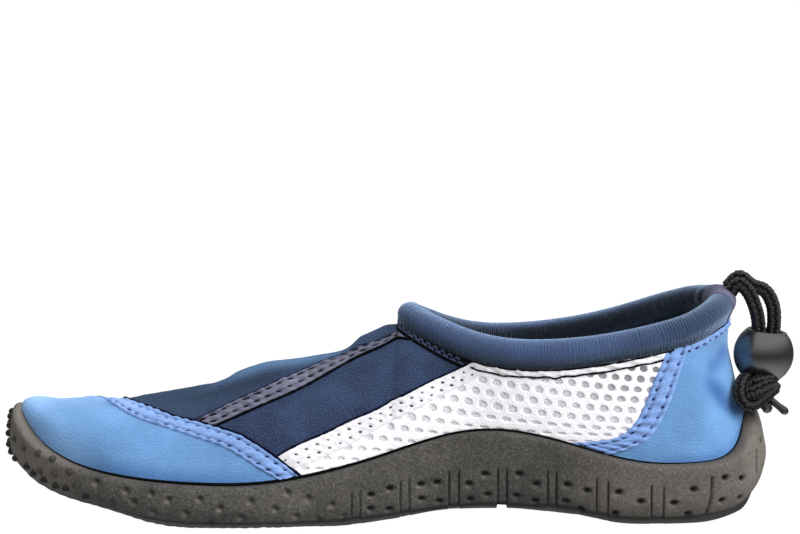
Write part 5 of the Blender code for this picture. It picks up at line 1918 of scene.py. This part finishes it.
def make_sole():
    s = sole_stations()
    n, m = len(s), SOLE_WALL + 1
    wall = sole_wall(s)
    up = np.gradient(wall, axis=1)
    ahead = np.roll(wall, -1, 0) - np.roll(wall, 1, 0)
    normal = unit(np.cross(up, ahead))
    facing = normal @ TO_EYE > 0.02
    pixels = project(wall)
    inner_side = (s <= TOE)[:, None] & np.ones((1, m), bool)
    lift = np.zeros((n, m))
    pit_and_shade = np.zeros((n, m))
    lip = np.zeros((n, m))
    share = np.broadcast_to(np.linspace(0, 1, m)[None, :], (n, m))
    mirror = (n - np.arange(n)) % n

    def nearest(pixel, loose=False):
        far = ((pixels - np.array(pixel)) ** 2).sum(-1) + np.where(inner_side & (facing | loose), 0, 1e6)
        return np.unravel_index(far.argmin(), far.shape)

    # channels and the slits of the heel, with painted shade in their grooves, notches and slits
    x = wall[..., 0]
    for i in range(len(CHANNELS["x"])):
        off = abs(x - CHANNELS["x"][i])
        half, deep, stop = (CHANNELS[key][i] for key in ("half", "deep", "top"))
        fade = 1 - ease(share, stop - 0.08, stop + 0.02)
        trough = (1 - ease(off, half - 0.45, half + 0.25)) * fade
        lift -= 0.22 * deep * trough
        groove = np.exp(-(((off - half) / 0.30) ** 2)) * fade
        lift -= 0.80 * deep * groove
        pit_and_shade = np.maximum(pit_and_shade, 0.95 * groove)
        notch = (1 - ease(off, half - 0.5, half + 0.2)) * (1 - ease(share, 0.03, 0.12))
        lift -= 0.35 * notch
        pit_and_shade = np.maximum(pit_and_shade, 0.5 * notch)
    for slit in SLITS:
        marks = np.array([wall[nearest(p, True)] for p in slit])
        fine = np.linspace(0, len(marks) - 1, 40)
        line = np.stack([np.interp(fine, np.arange(len(marks)), marks[:, k]) for k in range(3)], -1)
        near = np.full((n, m), 1e9)
        for p in line:
            near = np.minimum(near, ((wall - p) ** 2).sum(-1))
        cut = np.exp(-((near / 0.55**2) ** 1.5))
        cut = np.maximum(cut, cut[mirror])
        lift -= 0.9 * cut
        pit_and_shade = np.maximum(pit_and_shade, 0.9 * cut)
    # dimples, with painted shade inside each and a painted highlight on its lower lip
    for pixel in DIMPLES:
        k, j = nearest(pixel, True)
        for kk in (k, mirror[k]):
            near = (((wall - wall[kk, j]) / np.array([1.5, 1.5, 1.0])) ** 2).sum(-1)
            lift -= 1.25 * np.exp(-(near**1.5))
            pit_and_shade = np.maximum(pit_and_shade, np.exp(-((near / 0.95) ** 3)))
            lower = wall - wall[kk, j] + np.array([0.5, 0.0, 1.05])
            lip = np.maximum(lip, 0.6 * np.exp(-(lower**2).sum(-1) / 0.7**2))
    # shallow cups of the forefoot, with painted shadow in the upper side of each and a painted highlight on the lip
    # below
    for number, pixel in enumerate(NUBS):
        k, j = nearest(pixel, True)
        for kk in (k, mirror[k]):
            off = wall - wall[kk, j]
            size = 1.25 + 0.2 * math.sin(number * 5.1)
            lift -= 0.85 * np.exp(-(((off**2).sum(-1) / size**2) ** 1.6))
            lower = off + np.array([0.35, 0.0, 0.75])
            lip = np.maximum(lip, (0.75 + 0.25 * math.sin(number * 3.7)) * np.exp(-(lower**2).sum(-1) / 0.75**2))
            upper_ = off - np.array([0.25, 0.0, 0.70])
            pit_and_shade = np.maximum(pit_and_shade, 0.75 * np.exp(-(upper_**2).sum(-1) / 0.95**2))
    # uneven wall of a moulded sole
    rng = np.random.default_rng(8)
    waves = np.zeros((n, m))
    for _ in range(14):
        centre = rng.uniform([-125, -45, 4], [125, 45, 30])
        waves += rng.normal(0, 0.10) * np.exp(-((wall - centre) ** 2).sum(-1) / rng.uniform(8, 18) ** 2)
    lift += waves
    places = wall + normal * lift[..., None]
    # paler rubbed rubber at the toe and towards the heel, and the painted highlight on the lips of the cups
    wear_and_highlight = np.clip(ease(-x, 96, 126) * 0.75 + ease(x, 112, 128) * 0.62, 0, 1)
    wear_and_highlight = np.maximum(wear_and_highlight, 0.38 * ease(x, 92, 118) * ease(share, 0.2, 0.9))
    wear_and_highlight = np.maximum(wear_and_highlight, 0.26 * ease(x, 55, 80))
    wear_and_highlight = np.maximum(wear_and_highlight, 0.8 * lip)
    # painted shade along the bottom edge and towards the bottom and top of the wall, and a painted shadow along the rim
    # under the upper
    bottom_painted_shade = 1 - ease(share, 0.02, 0.10)
    pit_and_shade = np.maximum(pit_and_shade, 0.9 * bottom_painted_shade)
    pit_and_shade = np.maximum(pit_and_shade, 0.30 * (1 - ease(share, 0.05, 0.35)) + 0.25 * ease(share, 0.72, 0.98) * (1 - ease(-x, 80, 110)))
    rim_painted_shadow = ease(share, 0.93, 1.0) * (1 - 0.8 * ease(-x, 88, 112))
    pit_and_shade = np.maximum(pit_and_shade, 0.75 * rim_painted_shadow)

    # the inside of the cup below the rim, painted fully dark as shade
    section = sole_section(s)
    inner_points = np.stack(section[7:], 1)  # two wall points and the floor's corner
    deep = m + inner_points.shape[1]
    full = np.concatenate([places, inner_points], 1)
    points = [full.reshape(-1, 3)]
    quads = [sheet_quads(n, deep, closed_n=True)]
    tris = []
    pits_and_shade = [np.concatenate([pit_and_shade, np.ones((n, 3))], 1).ravel()]
    wears_and_highlights = [np.concatenate([wear_and_highlight, np.zeros((n, 3))], 1).ravel()]

    def across(column, edge, heights, fields):
        """A surface from the inner side's stations to the outer side's, sharing the ring's points."""
        half = n // 2
        start = sum(len(p) for p in points)
        inside = heights[1:half, 1:-1].reshape(-1, 3)
        points.append(inside)
        pits_and_shade.append(fields[1:half, 1:-1].ravel())
        wears_and_highlights.append(np.zeros(len(inside)))
        width = heights.shape[1]
        index = np.empty((half + 1, width), int)
        k = np.arange(half + 1)
        index[:, 0] = edge(k)
        index[:, -1] = edge((n - k) % n)
        index[1:half, 1:-1] = start + np.arange((half - 1) * (width - 2)).reshape(half - 1, width - 2)
        a = index[1:half]
        quads.append(
            np.stack([a[:-1, :-1], a[1:, :-1], a[1:, 1:], a[:-1, 1:]], -1).reshape(-1, 4)
        )
        for row, pole in ((1, edge(np.array([0]))[0]), (half - 1, edge(np.array([half]))[0])):
            line = index[row]
            fan = np.stack([np.full(width - 1, pole), line[:-1], line[1:]], -1)
            tris.append(fan if row == 1 else fan[:, ::-1])

    half = n // 2
    k = np.arange(half + 1)
    c = np.linspace(0, 1, SOLE_COLUMNS + 1)
    # bottom
    a, b = places[k, 0], places[(n - k) % n, 0]
    line = a[:, None] * (1 - c[None, :, None]) + b[:, None] * c[None, :, None]
    rows = s[k]
    keel, flat = KEEL(rows)[:, None], FLAT(rows)[:, None]
    edge_z = np.where(c[None, :] < 0.5, a[:, 2:3], b[:, 2:3])
    z = keel + (edge_z - keel) * np.clip((abs(2 * c[None, :] - 1) - flat) / (1 - flat), 0, None) ** 2
    sipe = np.zeros_like(z)
    for i in range(len(CHANNELS["x"])):
        off = abs(line[..., 0] - CHANNELS["x"][i])
        inside = 1 - ease(abs(2 * c[None, :] - 1), 0.45, 0.6) * (0 if i == NOTCHED else 1)
        sipe = np.maximum(sipe, (1 - ease(off, 1.1, 1.9)) * inside)
    tread = 0.5 + 0.5 * np.cos(line[..., 0] * 2 * math.pi / 7.5) * np.cos(line[..., 1] * 2 * math.pi / 7.5)
    front = ease(-line[..., 0], 18, 26)
    near = 1 - 2 * c[None, :]
    bowed = 2.2 * np.exp(-(((line[..., 0] - 63.0) / 12.0) ** 2)) * ease(near, 0.05, 0.5)
    bowed = bowed + 1.6 * np.exp(-(((line[..., 0] + 95.0) / 12.0) ** 2)) * ease(near, -0.4, 0.3)
    z = z + 2.2 * sipe + 0.45 * tread * front + bowed * (1 - ease(near, 0.75, 1.0))
    line = np.stack([line[..., 0], line[..., 1], np.maximum(z, 0.02)], -1)
    # painted shade in the sipes; elsewhere the bottom is drawn darker, more so towards its edges
    across(0, lambda kk: kk * deep, line, np.maximum(0.9 * sipe, 0.35 + 0.5 * ease(abs(2 * c[None, :] - 1) + 0 * z, 0.5, 0.8)))
    # floor of the cup, painted fully dark as shade
    a, b = inner_points[k, -1], inner_points[(n - k) % n, -1]
    cc = np.linspace(0, 1, 9)
    line = a[:, None] * (1 - cc[None, :, None]) + b[:, None] * cc[None, :, None]
    across(deep - 1, lambda kk: kk * deep + deep - 1, line, np.ones(line.shape[:2]))
    obj = build(
        "outsole_rubber", np.concatenate(points), np.concatenate(quads), np.concatenate(tris), [MATERIALS["rubber"]],
        ["outsole"], fields={"pit_and_shade": np.concatenate(pits_and_shade), "wear_and_highlight": np.concatenate(wears_and_highlights)},
    )
    fix_normals(obj)

    # nubs stand on the wall as small domes, drawn dark, with painted shade round the foot of each and a lighter top,
    # partly wear and partly painted highlight
    meshes, shade_pit, nub_wear_and_highlight = [], [], []
    around = 18
    angle = np.arange(around) * 2 * math.pi / around
    tilt = np.radians([0, 14, 28, 42, 56, 70, 82])

    def nub(k, j, radius, high, dark):
        p, up_way = places[k, j], normal[k, j]
        a = unit(np.cross(up_way, np.array([0.0, 0.0, 1.0]) if abs(up_way[2]) < 0.9 else np.array([1.0, 0, 0])))
        b = np.cross(up_way, a)
        rings = []
        for turn in tilt:
            wide, lift_ = radius * math.cos(turn), high * math.sin(turn)
            rings.append(p + wide * (np.cos(angle)[:, None] * a + np.sin(angle)[:, None] * b) + up_way * lift_)
        rings.insert(0, rings[0] - up_way * 0.9 + (rings[0] - p) * 0.08)
        rings = np.array(rings)
        count = len(rings)
        pts = np.concatenate([rings.reshape(-1, 3), [p + up_way * high], [p - up_way * 0.9]])
        qd = sheet_quads(count, around, closed_m=True)
        jj = np.arange(around)
        kk = (jj + 1) % around
        cap = np.stack([np.full(around, count * around), (count - 1) * around + jj, (count - 1) * around + kk], -1)
        foot_ = np.stack([np.full(around, count * around + 1), kk, jj], -1)
        meshes.append((pts, qd, np.concatenate([cap, foot_])))
        height_share = np.concatenate([np.repeat(np.concatenate([[0], np.sin(tilt)]), around), [1, 0]])
        shade_pit.append(np.maximum(dark, 0.6 * (1 - ease(height_share, 0.0, 0.35))))
        nub_wear_and_highlight.append((1 - dark) * 0.28 * ease(height_share, 0.55, 1.0))

    for group, radius, high, dark in ((TOE_NUBS, 1.3, 1.1, 0.6), (EDGE_NUBS, 1.3, 1.5, 0.97)):
        for pixel in group:
            k, j = nearest(pixel, True)
            for kk in (k, mirror[k]):
                nub(kk, j, radius, high, dark)
    p, q, t = gather(meshes)
    obj = build(
        "outsole_nubs", p, q, t, [MATERIALS["nub"]], ["outsole"],
        fields={"pit_and_shade": np.concatenate(shade_pit), "wear_and_highlight": np.concatenate(nub_wear_and_highlight)},
    )
    fix_normals(obj)


make_sole()


def make_rim_shadow():
    """A near-black band in the gap where the upper goes down into the cup: painted shadow where the upper overhangs the
    rim.
    """
    s = np.linspace(0, ROWS, 1100, endpoint=False)
    wide = np.interp(
        row_of(s), [0, 2.0, 3.0, 4.0, 6.0, 7.0, 8.5, 10.0, 11.4, 12.2, 12.9, 14], [0.06, 0.20, 0.34, 0.44, 0.5, 0.58, 0.72, 0.66, 0.5, 0.28, 0.06, 0.03]
    )
    middle = surf(s, ring_look(RIM_SHARE, s) + 0.45 * wide / ring_look(LENGTH, s), 0.5 * wide)
    out = unit(look(NORMAL, s, ring_look(RIM_SHARE, s)))
    ahead = unit(np.roll(middle, -1, 0) - np.roll(middle, 1, 0))
    over = np.cross(ahead, out)
    angle = np.arange(8) * 2 * math.pi / 8
    points = middle[:, None] + wide[:, None, None] * (
        np.cos(angle)[None, :, None] * out[:, None] + np.sin(angle)[None, :, None] * over[:, None]
    )
    obj = build(
        "rim_welt", points.reshape(-1, 3), sheet_quads(len(s), len(angle), True, True), (), [MATERIALS["welt"]],
        ["outsole"],
    )
    fix_normals(obj)


make_rim_shadow()

# ---------------------------------------------------------------- studio


def make_studio():
    scene = bpy.context.scene
    scene.view_settings.view_transform = "Standard"
    scene.view_settings.look = "None"
    world = bpy.data.worlds.new("studio")
    scene.world = world
    world.use_nodes = True
    tree = world.node_tree
    sky = tree.nodes["Background"]
    at = tree.nodes.new("ShaderNodeTexCoord")
    parts = tree.nodes.new("ShaderNodeSeparateXYZ")
    ramp = tree.nodes.new("ShaderNodeValToRGB")
    tree.links.new(at.outputs["Generated"], parts.inputs[0])
    height = tree.nodes.new("ShaderNodeMapRange")
    height.inputs["From Min"].default_value = -1.0
    tree.links.new(parts.outputs[2], height.inputs["Value"])
    tree.links.new(height.outputs[0], ramp.inputs[0])
    tree.links.new(ramp.outputs[0], sky.inputs[0])
    stops = ((0.0, 1.2), (0.22, 0.62), (0.40, 0.10), (0.54, 0.12), (0.70, 0.66), (0.82, 0.95), (1.0, 0.9))
    while len(ramp.color_ramp.elements) < len(stops):
        ramp.color_ramp.elements.new(0.5)
    for part, (place, level) in zip(ramp.color_ramp.elements, stops):
        part.position, part.color = place, (level, level, level, 1)
    sky.inputs[1].default_value = 0.85

    mesh = bpy.data.meshes.new("floor")
    r = 30.0
    mesh.from_pydata([(-r, -r, 0), (r, -r, 0), (r, r, 0), (-r, r, 0)], [], [(0, 1, 2, 3)])
    shade = Shade("floor_paper", Roughness=0.9)
    shade.shader.inputs["Specular IOR Level"].default_value = 0.1
    fibre = shade.noise(shade.place(), 0.02, 2.0)
    shade.into("Base Color", shade.ramp(fibre, [(0.3, (0.03, 0.03, 0.03)), (0.7, (0.035, 0.035, 0.035))]))
    shade.shader.inputs["Emission Color"].default_value = (1, 1, 1, 1)
    shade.shader.inputs["Emission Strength"].default_value = 1.0
    mesh.materials.append(shade.material)
    floor = bpy.data.objects.new("floor", mesh)
    floor.location = (0, 0, -0.0004)
    scene.collection.objects.link(floor)
    floor.visible_diffuse = False
    floor.visible_glossy = False

    def sun(name, turn, power, soft):
        light = bpy.data.lights.new(name, "SUN")
        light.energy, light.angle = power, math.radians(soft)
        lamp = bpy.data.objects.new(name, light)
        lamp.rotation_euler = tuple(math.radians(a) for a in turn)
        lamp.visible_glossy = False
        scene.collection.objects.link(lamp)

    sun("key", (57, 0, 62), 4.1, 55)
    sun("fill", (65, 0, 0), 0.55, 90)
    sun("rim", (50, 0, 168), 1.2, 60)


make_studio()
